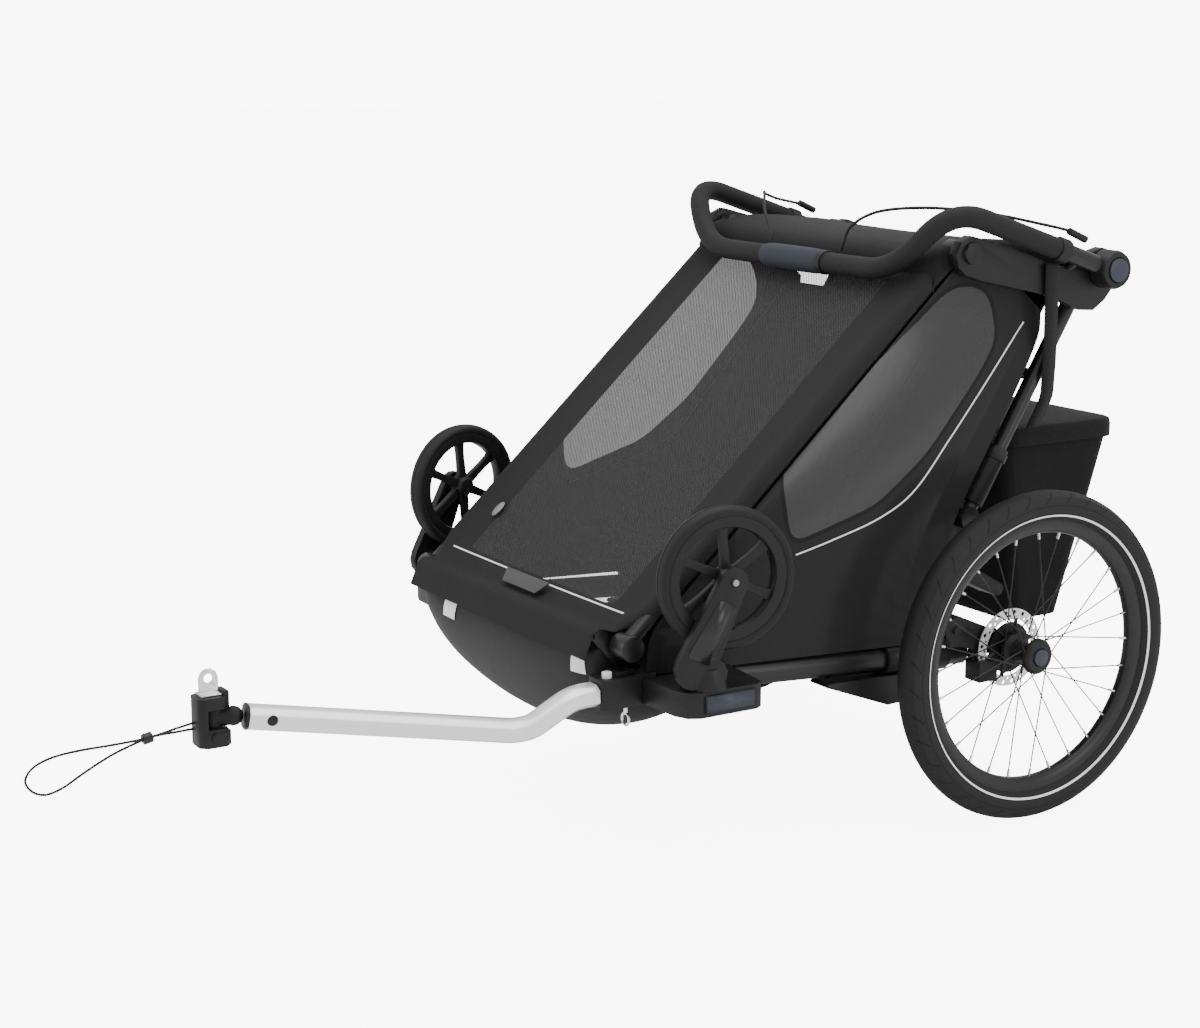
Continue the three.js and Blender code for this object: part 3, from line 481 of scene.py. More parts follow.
# %% Materials of the CAD nodes
DRESS = {
    "front_bar": black_paint, "top_cross_tube": black_paint, "axle_beam": black_plastic,
    "arm_receiver": black_plastic, "upright_frame": black_paint, "tow_arm": satin_aluminium,
    "lock_pin": bright_steel, "hitch_ear": bright_steel, "hitch_neck": rubber, "hitch_body": black_plastic,
    "arm_plug": black_plastic, "arm_button": black_plastic, "receiver_button": white_plastic,
}
PAIRS = {
    "side_tube": black_paint, "front_tube": black_paint, "top_rail": black_plastic,
    "upright_sleeve": black_plastic, "caster_bracket": black_plastic, "caster_fork": black_plastic,
    "suspension_arm": black_plastic, "pivot_button": slate_plastic, "hub_button": slate_plastic,
}
for node, material in DRESS.items():
    dress(node, material)
for node, material in PAIRS.items():
    for side in SIDES:
        dress(f"{node}_{side}", material)
print("dressed", len(DRESS) + 2 * len(PAIRS), "CAD nodes")

# %% [markdown]
# ## Mesh helpers
# New pieces are built from grids, lathed profiles and swept circles.

# %% Build meshes


def new_piece(name, vertices, faces, material, uv=None, smooth=True):
    mesh = bpy.data.meshes.new(name)
    mesh.from_pydata([tuple(v) for v in vertices], [], faces)
    mesh.materials.append(material)
    mesh.polygons.foreach_set("use_smooth", [smooth] * len(mesh.polygons))
    if uv is not None:
        layer = mesh.uv_layers.new(name="UVMap")
        for loop in mesh.loops:
            layer.data[loop.index].uv = uv[loop.vertex_index]
    obj = bpy.data.objects.new(name, mesh)
    bpy.context.scene.collection.objects.link(obj)
    return obj


def grid_piece(name, rows, material, uv=None, closed_u=False, closed_v=False):
    """A surface through rows of points. closed_u closes each row, and closed_v joins the last row to the first."""
    count, width = len(rows), len(rows[0])
    vertices = [p for row in rows for p in row]
    faces = []
    for i in range(count if closed_v else count - 1):
        for j in range(width if closed_u else width - 1):
            a, b = i * width + j, i * width + (j + 1) % width
            below = ((i + 1) % count) * width
            faces.append((a, b, below + (j + 1) % width, below + j))
    return new_piece(name, vertices, faces, material, uv)


def add_faces(obj, faces):
    """Closes a piece with more faces, each a list of its vertices' numbers."""
    mesh = bmesh.new()
    mesh.from_mesh(obj.data)
    mesh.verts.ensure_lookup_table()
    for face in faces:
        mesh.faces.new([mesh.verts[k] for k in face])
    mesh.to_mesh(obj.data)
    mesh.free()


def solidify(obj, thickness, offset=0.0):
    modifier = obj.modifiers.new("thickness", "SOLIDIFY")
    modifier.thickness = thickness
    modifier.offset = offset
    return obj


def soften(obj, width, segments=3):
    edge = obj.modifiers.new("bevel", "BEVEL")
    edge.width = width
    edge.segments = segments
    edge.limit_method = "ANGLE"
    edge.angle_limit = math.radians(35)
    obj.modifiers.new("smooth", "NODES").node_group = smooth_tree
    return obj


def rounded(corners, bend, steps=8):
    """Points of a route with its corners rounded."""
    points = [Vector(corners[0])]
    for before, corner, after in zip(corners, corners[1:], corners[2:]):
        corner = Vector(corner)
        to_before, to_after = Vector(before) - corner, Vector(after) - corner
        reach = min(bend, to_before.length / 2.2, to_after.length / 2.2)
        start = corner + to_before.normalized() * reach
        end = corner + to_after.normalized() * reach
        for k in range(steps + 1):
            t = k / steps
            points.append(start * (1 - t) ** 2 + corner * 2 * t * (1 - t) + end * t**2)
    return [*points, Vector(corners[-1])]


def smooth_line(points, steps):
    """Points along a centripetal-like Catmull-Rom curve, at even distances."""
    points = [Vector(p) for p in points]
    padded = [2 * points[0] - points[1], *points, 2 * points[-1] - points[-2]]
    fine = []
    for a, b, c, d in zip(padded, padded[1:], padded[2:], padded[3:]):
        for k in range(12):
            t = k / 12
            fine.append(0.5 * ((2 * b) + (c - a) * t + (2 * a - 5 * b + 4 * c - d) * t**2
                               + (3 * b - a - 3 * c + d) * t**3))
    fine.append(points[-1])
    return even(fine, steps)


def even(points, steps):
    lengths = np.cumsum([0, *((b - a).length for a, b in zip(points, points[1:]))])
    coordinates = np.array([list(p) for p in points])
    targets = np.linspace(0, lengths[-1], steps + 1)
    return [Vector([np.interp(t, lengths, coordinates[:, k]) for k in range(3)]) for t in targets]


def tube(name, points, radius, material, sides=16, caps=True):
    """A round tube along points. radius may be one number or one for each point."""
    radii = radius if hasattr(radius, "__len__") else [radius] * len(points)
    tangents = []
    for k in range(len(points)):
        ahead, behind = points[min(k + 1, len(points) - 1)], points[max(k - 1, 0)]
        tangents.append((ahead - behind).normalized())
    side = tangents[0].orthogonal().normalized()
    rows = []
    for point, tangent, r in zip(points, tangents, radii):
        side = (side - tangent * side.dot(tangent)).normalized()
        other = tangent.cross(side)
        rows.append([point + (side * math.cos(a) + other * math.sin(a)) * r
                     for a in np.linspace(0, 2 * math.pi, sides, endpoint=False)])
    uv = [(j / sides * 2 * math.pi * radii[0], i * 0.01) for i in range(len(rows)) for j in range(sides)]
    obj = grid_piece(name, rows, material, uv, closed_u=True)
    if caps:
        total = len(rows) * sides
        add_faces(obj, [range(sides - 1, -1, -1), range(total - sides, total)])
        obj.modifiers.new("smooth", "NODES").node_group = smooth_tree
    return obj


def lathe(name, profile, centre, material, segments=128, closed=False, axis_turn=0.0):
    """A profile of [radius, x] in millimetres turned about the X axis through centre, a point in metres."""
    turn = Matrix.Rotation(axis_turn, 3, "Z")
    rows = []
    for radius, x in profile:
        ring = [Vector((x, radius * math.cos(a), radius * math.sin(a))) / 1000
                for a in np.linspace(0, 2 * math.pi, segments, endpoint=False)]
        rows.append([centre + turn @ p for p in ring])
    uv = [(j / segments, profile[i][0] / 1000) for i in range(len(rows)) for j in range(segments)]
    obj = grid_piece(name, rows, material, uv, closed_u=True, closed_v=closed)
    obj.modifiers.new("smooth", "NODES").node_group = smooth_tree
    return obj


def joined(name, objects):
    """Joins objects into the first, with their modifiers applied."""
    graph = bpy.context.evaluated_depsgraph_get()
    mesh = bmesh.new()
    materials = []
    for obj in objects:
        done = bpy.data.meshes.new_from_object(obj.evaluated_get(graph), depsgraph=graph)
        done.transform(obj.matrix_world)
        start = len(mesh.faces)
        mesh.from_mesh(done)
        mesh.faces.ensure_lookup_table()
        if obj.data.materials[0] not in materials:
            materials.append(obj.data.materials[0])
        for face in mesh.faces[start:]:
            face.material_index = materials.index(obj.data.materials[0])
    result = bpy.data.meshes.new(name)
    mesh.to_mesh(result)
    mesh.free()
    for material in materials:
        result.materials.append(material)
    for obj in objects:
        bpy.data.objects.remove(obj)
    piece = bpy.data.objects.new(name, result)
    bpy.context.scene.collection.objects.link(piece)
    return piece


def finish_piece(obj, body, slot, *replaced):
    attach(obj, body)
    if replaced:
        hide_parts(*replaced)
    return obj


def flatten(obj):
    """Gives the piece its own copy of its mesh data."""
    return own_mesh(obj)


# %% [markdown]
# ## Tether
# The tether is a stiff cord: out of the hitch, round in a flat loop and back, with one bead on both strands.

# %% Tether
HITCH_Y = -1214
TETHER = [
    (168, HITCH_Y - 25.3, 290), (168, -1262, 286.5), (167.8, -1290, 281.5), (167.4, -1312, 279),
    (167, -1350, 278), (166, -1392, 277.5), (165, -1426, 274), (164.5, -1450, 265), (164, -1461, 250), (164, -1454, 235),
    (164, -1437, 227), (164, -1414, 232), (163.6, -1385, 247), (163.2, -1349, 263.5), (162.8, -1312, 275),
    (162.4, -1290, 279), (162, -1262, 279.5), (162, HITCH_Y - 25.3, 280),
]
tether_path = smooth_line([place(*p) for p in TETHER], 240)
tether = tube("tether_cord", tether_path, 0.0017, cord_sheath, sides=12)
bead_ends = [place(165, -1308, 277.6), place(165, -1295, 279.9)]
bead = soften(tube("tether_slider", bead_ends, 0.0072, glossy_plastic, 24), 0.0015)
finish_piece(tether, "hitch", "cord", "tether")
finish_piece(bead, "hitch", "black_plastic", "tether_bead")

# %% [markdown]
# ## Front cover
# The cover is stretched over the front tubes and wraps round them at both sides, and over the front bar at its
# foot.

# %% Front cover
CROSS = [
    (299, -2), (298.5, 6), (294, 12.5), (286, 15.5), (278, 15), (268, 13), (250, 12), (225, 11), (190, 10),
    (150, 9), (110, 8.2), (70, 7.6), (30, 7.2), (0, 7),
]
CROSS = [*CROSS, *[(-x, lift) for x, lift in CROSS[-2::-1]]]
BAR_WRAP = [(-710, 317), (-706, 327), (-701, 338), (-697, 349), (-687, 358), (-672, 363)]
BAR_WRAP_HALF = 262
wrap_lengths = np.cumsum([0, *(math.dist(a, b) for a, b in zip(BAR_WRAP, BAR_WRAP[1:]))])


def lerp(a, b, t):
    return a + (b - a) * t


def cover_row(distance):
    """Points right across the cover at a distance along it from its foot."""
    if distance < wrap_lengths[-1]:
        y = np.interp(distance, wrap_lengths, [p[0] for p in BAR_WRAP])
        z = np.interp(distance, wrap_lengths, [p[1] for p in BAR_WRAP])
        return [place(np.clip(x, -BAR_WRAP_HALF, BAR_WRAP_HALF), y, z) for x, lift in CROSS]
    reach = distance - wrap_lengths[-1] + 8
    blend = min(reach / 60, 1)
    width = 0.877 + 0.123 * blend
    return [place(x * width, *along(FOOT, CROWN, reach, lerp(19, lift, blend))) for x, lift in CROSS]


cover_stations = [*wrap_lengths[:-1], *np.arange(wrap_lengths[-1], 792, 8.0)]
cover_rows = [cover_row(d) for d in cover_stations]
cover_uv = [(x / 1000, d / 1000) for d in cover_stations for x, lift in CROSS]
cover = grid_piece("front_mesh_cover", cover_rows, cover_net, cover_uv)
finish_piece(cover, "front_frame", "black_fabric", "front_cover")

# %% Tab and mark on the front cover


def on_cover(x, distance, lift):
    return place(x, *along(FOOT, CROWN, distance, lift))


tab = new_piece(
    "cover_tab",
    [on_cover(*p) for p in ((-62, 36, 22), (62, 36, 22), (48, 12, 22), (-48, 12, 22),
                            (-62, 36, 25), (62, 36, 25), (48, 12, 25), (-48, 12, 25))],
    [(0, 1, 2, 3), (7, 6, 5, 4), (0, 4, 5, 1), (1, 5, 6, 2), (2, 6, 7, 3), (3, 7, 4, 0)],
    Look("tab_rubber", (0.05, 0.05, 0.052), 0.5).material,
)
finish_piece(soften(tab, 0.0012), "front_frame", "black_plastic")
oval_angles = np.linspace(0, 2 * math.pi, 24)[:-1]
oval_points = [on_cover(-215 + 9 * math.cos(a), 123 + 14 * math.sin(a), 17) for a in oval_angles]
pale_mark = Look("pale_mark", (0.22, 0.22, 0.22), 0.5).material
oval = new_piece("cover_mark", oval_points, [tuple(range(len(oval_points)))], pale_mark)
finish_piece(solidify(oval, 0.0006), "front_frame", "black_fabric")
print("front cover:", len(cover.data.polygons), "faces")

# %% [markdown]
# ## Side panels
# Each panel is a patch between the front tube and the upright that bulges a little. The window's outline and
# the piping's route lie in the panel's own plane.

# %% Side panel shape
PANEL_FRONT = [(-634, 294), *(along(FOOT, CROWN, d, -9) for d in (40, 120, 240, 360, 480, 600, 735))]
PANEL_REAR = [
    (-132, 270.5), (-124, 330), (-114, 385), (-92, 450), (-40, 540), (20, 640), (57, 712), (62, 752),
]
PANEL_X, PANEL_BULGE = 299, 15
WINDOW = [
    (-67, 797), (-114, 796), (-221, 717), (-394, 582), (-410, 548), (-400, 454), (-250, 495), (-160, 559),
    (-61, 668), (-25, 717), (-38, 777),
]
PIPING = [(-392, 437), (-331, 451), (-241, 475), (-178, 508), (-115, 576), (-42, 658), (27, 738)]
PANEL_STEPS = 110


def even_2d(points, steps):
    return [(p.x, p.y) for p in smooth_line([Vector((*p, 0)) for p in points], steps)]


def rounded_outline(points, bend=28):
    """A closed outline with rounded corners."""
    outline = []
    count = len(points)
    for k in range(count):
        before, corner, after = (Vector(points[(k + d) % count]) for d in (-1, 0, 1))
        start = corner + (before - corner).normalized() * min(bend, (before - corner).length / 2.1)
        end = corner + (after - corner).normalized() * min(bend, (after - corner).length / 2.1)
        for t in np.linspace(0, 1, 7):
            outline.append(start * (1 - t) ** 2 + corner * 2 * t * (1 - t) + end * t**2)
    return np.array([list(p) for p in outline])


def distance_to_line(points, line, closed=False):
    """The distance of each point to a line of points, in the same plane."""
    starts = line if closed else line[:-1]
    ends = np.roll(line, -1, axis=0) if closed else line[1:]
    best = np.full(len(points), 1e9)
    for a, b in zip(starts, ends):
        t = np.clip(((points - a) @ (b - a)) / ((b - a) @ (b - a)), 0, 1)
        best = np.minimum(best, np.linalg.norm(points - (a + t[:, None] * (b - a)), axis=1))
    return best


def is_inside(points, outline):
    inside = np.zeros(len(points), bool)
    for (y0, z0), (y1, z1) in zip(outline, np.roll(outline, -1, axis=0)):
        crosses = (z0 > points[:, 1]) != (z1 > points[:, 1])
        with np.errstate(divide="ignore", invalid="ignore"):
            at = (y1 - y0) * (points[:, 1] - z0) / (z1 - z0) + y0
        inside ^= crosses & (points[:, 0] < at)
    return inside


front_line = even_2d(PANEL_FRONT, PANEL_STEPS)
rear_line = even_2d(PANEL_REAR, PANEL_STEPS)
flat_points, depth = [], []
for i in range(PANEL_STEPS + 1):
    v = i / PANEL_STEPS
    for j in range(PANEL_STEPS + 1):
        u = j / PANEL_STEPS
        y = lerp(front_line[i][0], rear_line[i][0], u)
        z = lerp(front_line[i][1], rear_line[i][1], u)
        z += 26 * math.sin(math.pi * u) * max(0, (v - 0.75) / 0.25) ** 2
        flat_points.append((y, z))
        bulge = math.sin(math.pi * min(u * 1.15, 1)) ** 0.8 * math.sin(math.pi * min(v * 1.1, 1)) ** 0.7
        depth.append(PANEL_X + PANEL_BULGE * bulge)
flat = np.array(flat_points)
window_outline = rounded_outline(WINDOW)
window_sign = np.where(is_inside(flat, window_outline), -1, 1)
window_distances = distance_to_line(flat, window_outline, closed=True) * window_sign / 1000
piping_line = np.array(even_2d(PIPING, 60))
nearest = [np.argsort(np.linalg.norm(flat - spot, axis=1))[:4] for spot in piping_line]
piping_path = [(np.mean(np.array(depth)[k]) + 0.9, *spot) for k, spot in zip(nearest, piping_line)]

# %% Side panel pieces
for side, sign in SIDES.items():
    points = [place(sign * x, y, z) for (y, z), x in zip(flat_points, depth)]
    rows = [points[k * (PANEL_STEPS + 1):(k + 1) * (PANEL_STEPS + 1)] for k in range(PANEL_STEPS + 1)]
    if sign < 0:
        rows = rows[::-1]
    order = np.arange(len(points)).reshape(PANEL_STEPS + 1, -1)
    order = (order[::-1] if sign < 0 else order).ravel()
    panel = grid_piece(f"side_cloth_{side}", rows, side_cloth, [tuple(flat[k] / 1000) for k in order])
    window_values = panel.data.attributes.new("window", "FLOAT", "POINT")
    window_values.data.foreach_set("value", window_distances[order].astype(np.float32))
    finish_piece(panel, "chassis", "black_fabric", f"side_panel_{side}")
    flatten(panel)
    piping_points = [place(sign * x, y, z) for x, y, z in piping_path]
    piping = tube(f"piping_{side}", piping_points, 0.0012, pale_piping, sides=10)
    finish_piece(piping, "chassis", "black_fabric")
    flatten(piping)

# %% [markdown]
# ## Roof and back
# The canopy is one curved sheet that ends in a hem over each top rail. The back panel hangs between the
# uprights.

# %% Canopy
CANOPY = [
    (-146, 812), (-147, 828), (-136, 844), (-112, 854), (-70, 859), (-20, 859), (40, 853), (84, 848),
    (116, 842), (138, 828), (142, 806), (138, 784),
]
CANOPY_CROSS = [
    (300, -26), (300, -12), (297, -3), (290, 1), (270, 2), (230, 0), (180, -1.5), (120, -2.5), (60, -3),
    (0, -3),
]
CANOPY_CROSS = [*CANOPY_CROSS, *[(-x, lift) for x, lift in CANOPY_CROSS[-2::-1]]]
canopy_line = even_2d(CANOPY, 48)
canopy_rows = [[place(x, y, z + drop) for x, drop in CANOPY_CROSS] for y, z in canopy_line]
canopy_uv = [(x / 1000, k * 0.0078) for k in range(49) for x, drop in CANOPY_CROSS]
roof = grid_piece("roof_cloth", canopy_rows, black_cloth, canopy_uv)
finish_piece(roof, "top_frame", "black_fabric", "canopy")

# %% Back panel
back_columns = np.linspace(-256, 256, 33)
back_rows = []
for k in range(31):
    y, z = along(HEEL, TAIL, lerp(-178, 384, k / 30), 16)
    back_rows.append([place(x, y - 10 * math.cos(math.pi * x / 520), z) for x in back_columns])
back_uv = [(x / 1000, k * 0.0188) for k in range(31) for x in back_columns]
back_cloth = grid_piece("back_cloth", back_rows, black_cloth, back_uv)
finish_piece(back_cloth, "rear_frame", "black_fabric", "back_panel")
print("roof and back panel made")

# %% [markdown]
# ## Footwell
# The footwell is a smooth tub of coated cloth. The same superellipse as in the CAD source gives its corners.

# %% Footwell
TUB_MIDDLE = [
    (-694, 330), (-706, 302), (-706, 270), (-692, 229), (-664, 191), (-632, 171), (-600, 178), (-574, 206),
    (-548, 234), (-510, 238), (-330, 238), (-130, 238),
]
TUB_EDGE = [
    (-672, 330), (-658, 302), (-643, 280), (-630, 262), (-620, 250), (-610, 245), (-600, 243), (-580, 241),
    (-548, 240), (-510, 240), (-330, 240), (-130, 240),
]
TUB_COLUMNS = 61
TUB_POWER = [7, 4.5, 3.6, 2.8, 2.3, 2.1, 2.2, 2.6, 3.5, 7, 7, 7]  # how square each point's corners are
TUB_HALF, TUB_STEPS = 258, 90
run = np.cumsum([0, *(math.dist(a, b) for a, b in zip(TUB_MIDDLE, TUB_MIDDLE[1:]))])
powers = np.interp(np.linspace(0, run[-1], TUB_STEPS + 1), run, TUB_POWER)
middle, edge = even_2d(TUB_MIDDLE, TUB_STEPS), even_2d(TUB_EDGE, TUB_STEPS)
tub_rows, tub_uv = [], []
for k, (at_middle, at_edge, power) in enumerate(zip(middle, edge, powers)):
    row = []
    for c in range(TUB_COLUMNS):
        across = math.sin(math.pi / 2 * (2 * c / (TUB_COLUMNS - 1) - 1))
        depth_here = (1 - abs(across) ** power) ** (1 / power)
        y, z = (lerp(outer, inner, depth_here) for outer, inner in zip(at_edge, at_middle))
        row.append(place(across * TUB_HALF, y, z))
        tub_uv.append((across * TUB_HALF / 1000, k * 0.0105))
    tub_rows.append(row)
tub = solidify(grid_piece("footwell_tub", tub_rows, tub_cloth, tub_uv), 0.003, 1)
finish_piece(tub, "chassis", "grey_fabric", "footwell_floor")
surface = BVHTree.FromObject(tub, bpy.context.evaluated_depsgraph_get())


def on_tub(x, z, lift=0.0015):
    """The point in front of the tub's skin at this x and z, both in millimetres."""
    hit, normal, _, _ = surface.ray_cast(place(x, -900, z), Vector((0, 1, 0)))
    return hit + Vector((0, -lift, 0))


for side, (start, end) in {"left": (212, 240), "right": (-158, -120)}.items():
    patch_rows = [[on_tub(x, z) for x in np.linspace(start, end, 9)] for z in np.linspace(318, 290, 9)]
    patch = grid_piece(f"tub_reflector_{side}", patch_rows, reflective_white)
    finish_piece(patch, "chassis", "white_plastic")
print("footwell:", len(tub.data.polygons), "faces")

# %% [markdown]
# ## Seats and harnesses
# Two padded seats hang side by side. Each has a bench and a backrest, with a shallow channel between the
# children.

# %% Seat
SEAT_BACK = ((-172, 392), (12, 748))
SEAT = [(-434, 336), (-430, 356), (-408, 368), (-330, 358), (-240, 345), (-200, 354), SEAT_BACK[0],
        along(*SEAT_BACK, 100), along(*SEAT_BACK, 200), along(*SEAT_BACK, 300), SEAT_BACK[1]]
SEAT_STEPS, SEAT_COLUMNS, SEAT_HALF = 70, 73, 252
SEAT_LOOP = 2 * SEAT_COLUMNS
seat_line = smooth_line([Vector((0, *p)) for p in SEAT], SEAT_STEPS)
seat_columns = np.linspace(-SEAT_HALF, SEAT_HALF, SEAT_COLUMNS)
seat_front, seat_rear = [], []
for k, point in enumerate(seat_line):
    ahead, behind = seat_line[min(k + 1, SEAT_STEPS)], seat_line[max(k - 1, 0)]
    normal = Vector((0, -(ahead - behind).z, (ahead - behind).y)).normalized()
    ends = min(1, min(k, SEAT_STEPS - k) / 4) ** 0.5
    front, rear = [], []
    for x in seat_columns:
        pad = abs(math.sin(math.pi * (x + SEAT_HALF) / SEAT_HALF)) ** 0.35 * ends
        front.append(place(x, point.y + normal.y * (3 + 13 * pad), point.z + normal.z * (3 + 13 * pad)))
        rear.append(place(x, point.y, point.z))
    seat_front.append(front)
    seat_rear.append(rear[::-1])
loops = [f + r for f, r in zip(seat_front, seat_rear)]
seat_uv = [(j * 0.007, k * 0.009) for k in range(SEAT_STEPS + 1) for j in range(SEAT_LOOP)]
seat = grid_piece("padded_seat", loops, seat_cloth, seat_uv, closed_u=True)
for first in (0, SEAT_STEPS * SEAT_LOOP):
    last = first + SEAT_LOOP - 1
    closing = [(first + j, first + j + 1, last - j - 1, last - j) for j in range(SEAT_COLUMNS - 1)]
    add_faces(seat, closing if first else [face[::-1] for face in closing])
finish_piece(seat, "chassis", "black_fabric", "seat")
flatten(seat)

# %% Harnesses


def ribbon(name, points, width_direction, width, thickness, material, steps=24):
    """A flat strap along points."""
    line = smooth_line(points, steps)
    rows = [[p - width_direction * width / 2, p, p + width_direction * width / 2] for p in line]
    uv = [(w * width / 2, k * 0.01) for k in range(len(line)) for w in (-1, 0, 1)]
    return solidify(grid_piece(name, rows, material, uv), thickness)


def on_back(x, distance, lift):
    return place(x, *along(*SEAT_BACK, distance, lift))


for side, sign in SIDES.items():
    x = 126 * sign
    routes = [
        [on_back(x - 55, 330, 24), on_back(x - 34, 230, 26), on_back(x - 8, 122, 30)],
        [on_back(x + 55, 330, 24), on_back(x + 34, 230, 26), on_back(x + 8, 122, 30)],
        [on_back(x, 122, 30), on_back(x, 70, 28), on_back(x, 20, 27)],
    ]
    straps = [
        *[ribbon("strap", route, Vector((1, 0, 0)), 0.028, 0.002, webbing) for route in routes],
        soften(tube("strap", [on_back(x, 120, 27), on_back(x, 120, 36)], 0.022, black_plastic, 32), 0.003),
    ]
    harness = joined(f"seat_harness_{side}", straps)
    finish_piece(harness, "chassis", "webbing", f"harness_{side}")
    flatten(harness)
print("seats and harnesses made")

# %% [markdown]
# ## Cargo bag
# The bag is an open sack of cloth whose walls bulge between its corners, with a lid that overhangs them.

# %% Bag walls
BAG_LOW, BAG_HIGH = (-206, 104, 206, 214), (-222, 66, 222, 294)


def outline(box, radius, bulge=0.0, steps=8, along_side=10):
    """A rounded rectangle of [x, y] points that bulges between its corners."""
    x0, y0, x1, y1 = box
    left, right, near, far = x0 + radius, x1 - radius, y0 + radius, y1 - radius
    centres = [(right, far), (left, far), (left, near), (right, near)]
    points = []
    for quarter, (cx, cy) in enumerate(centres):
        start = (quarter + np.arange(steps + 1) / steps) * math.pi / 2
        arc = [(cx + radius * math.cos(a), cy + radius * math.sin(a)) for a in start]
        points += arc
        nx, ny = centres[(quarter + 1) % 4]
        angle = (quarter + 1) * math.pi / 2
        end = (nx + radius * math.cos(angle), ny + radius * math.sin(angle))
        for t in np.arange(1, along_side) / along_side:
            push = bulge * math.sin(math.pi * t)
            points.append((lerp(arc[-1][0], end[0], t) + push * math.cos(angle),
                           lerp(arc[-1][1], end[1], t) + push * math.sin(angle)))
    return points


bag_rows, bag_uv = [], []
for k in range(25):
    t = k / 24
    box = [lerp(low, high, t) for low, high in zip(BAG_LOW, BAG_HIGH)]
    ring = outline(box, 24, -5 * math.sin(math.pi * t))
    bag_rows.append([place(x, y, lerp(250, 545, t)) for x, y in ring])
    bag_uv += [(j * 0.012, t * 0.3) for j in range(len(ring))]
inner = outline([BAG_LOW[0] + 40, BAG_LOW[1] + 35, BAG_LOW[2] - 40, BAG_LOW[3] - 35], 10)
bag_rows.insert(0, [place(x, y, 248) for x, y in inner])
bag_uv = [(j * 0.012, -0.04) for j in range(len(inner))] + bag_uv
bag = grid_piece("cargo_sack", bag_rows, bag_cloth, bag_uv, closed_u=True)
add_faces(bag, [range(len(inner) - 1, -1, -1)])
solidify(bag, 0.0025, -1)
finish_piece(bag, "chassis", "black_fabric", "cargo_bag")
flatten(bag)

# %% Bag lid
lid_rows, lid_uv = [], []
LID = [(-8, 533), (-8, 552), (-6, 560), (0, 562), (30, 562.5), (75, 563)]
for grow, z in LID:
    x0, y0, x1, y1 = BAG_HIGH
    ring = outline((x0 + grow, y0 + grow, x1 - grow, y1 - grow), max(30 - grow, 8))
    lid_rows.append([place(x, y, z) for x, y in ring])
    lid_uv += [(x / 1000, y / 1000) for x, y in ring]
lid = grid_piece("cargo_sack_lid", lid_rows, bag_cloth, lid_uv, closed_u=True)
lid_round = len(lid_rows[0])
add_faces(lid, [range((len(LID) - 1) * lid_round, len(LID) * lid_round)])
solidify(lid, 0.003, -1)
finish_piece(lid, "cargo_lid", "black_fabric", "cargo_lid")
flatten(lid)

# %% Webbing from the rails to the bag
STRAP = [
    (328, 54, 826), (327, 55, 812), (323, 60, 745), (311, 71, 680), (303, 77, 650), (289, 88, 622),
    (268, 97, 596), (246, 102, 566),
]
for side, sign in SIDES.items():
    strap_points = [place(sign * x, y, z) for x, y, z in STRAP]
    strap = ribbon(f"bag_webbing_{side}", strap_points, Vector((0, 1, 0)), 0.025, 0.002, webbing, 40)
    finish_piece(strap, "chassis", "webbing", f"bag_strap_{side}")
    flatten(strap)
print("cargo bag, lid and webbing made")

# %% [markdown]
# ## Handlebar
# The bar is covered in foam from one collar to the other. A smooth sweep stands in for the CAD's coarse one,
# and the brake cables are swept along given routes.

# %% Handlebar
ARM_END, UPPER_BEND, LOWER_BEND = place(335, *BAR_PIVOT), place(328, -138, 914), place(238, -173, 818)


def on_arm(distance):
    return ARM_END + (UPPER_BEND - ARM_END).normalized() * distance / 1000


def bar_route(start):
    half = [start, UPPER_BEND, LOWER_BEND]
    return rounded([*half, *mirrored(half)[::-1]], 0.062, 14)


KNOB = [  # [radius, x]
    (0, 322), (27, 322), (29, 324), (29, 347), (26.5, 353), (19.4, 354), (18.5, 352), (18.5, 347.4), (0, 347.4),
]
foam_piece = tube("bar_foam", bar_route(on_arm(112)), 0.0158, foam, 28)
finish_piece(foam_piece, "handlebar", "foam", "handlebar_foam")
bar_parts = []
for sign in SIDES.values():
    def across(p):
        return Vector((p.x * sign, p.y, p.z))

    centre = across(ARM_END)
    bar_parts += [
        tube("part", [across(on_arm(6)), across(on_arm(104))], 0.0132, black_paint, 28),
        soften(tube("part", [across(on_arm(92)), across(on_arm(112))], 0.0185, black_plastic, 32), 0.002),
        lathe("part", KNOB, place(0, *BAR_PIVOT), black_plastic, 64),
    ]
    if sign < 0:
        for vertex in bar_parts[-1].data.vertices:
            vertex.co.x = -vertex.co.x
        bar_parts[-1].data.flip_normals()
bar = joined("bar_tube", bar_parts)
finish_piece(bar, "handlebar", "black_paint", "handlebar_tube")

# %% Grip sleeve
SLEEVE_HALF = 72
sleeve_x = np.linspace(-SLEEVE_HALF, SLEEVE_HALF, 41)
sleeve_points = [place(x, -173, 818) for x in sleeve_x]
sleeve_radii = [0.0192 - 0.0022 * (abs(x) / SLEEVE_HALF) ** 8 for x in sleeve_x]
sleeve = tube("bar_sleeve", sleeve_points, sleeve_radii, slate_rubber, 32)
ring_ends = [place(SLEEVE_HALF, -173, 818), place(SLEEVE_HALF + 12, -173, 818)]
sleeve_ring = tube("bar_sleeve_ring", ring_ends, 0.0185, black_plastic, 32)
finish_piece(sleeve, "handlebar", "slate_plastic", "grip_sleeve")
finish_piece(soften(sleeve_ring, 0.0015), "handlebar", "black_plastic")

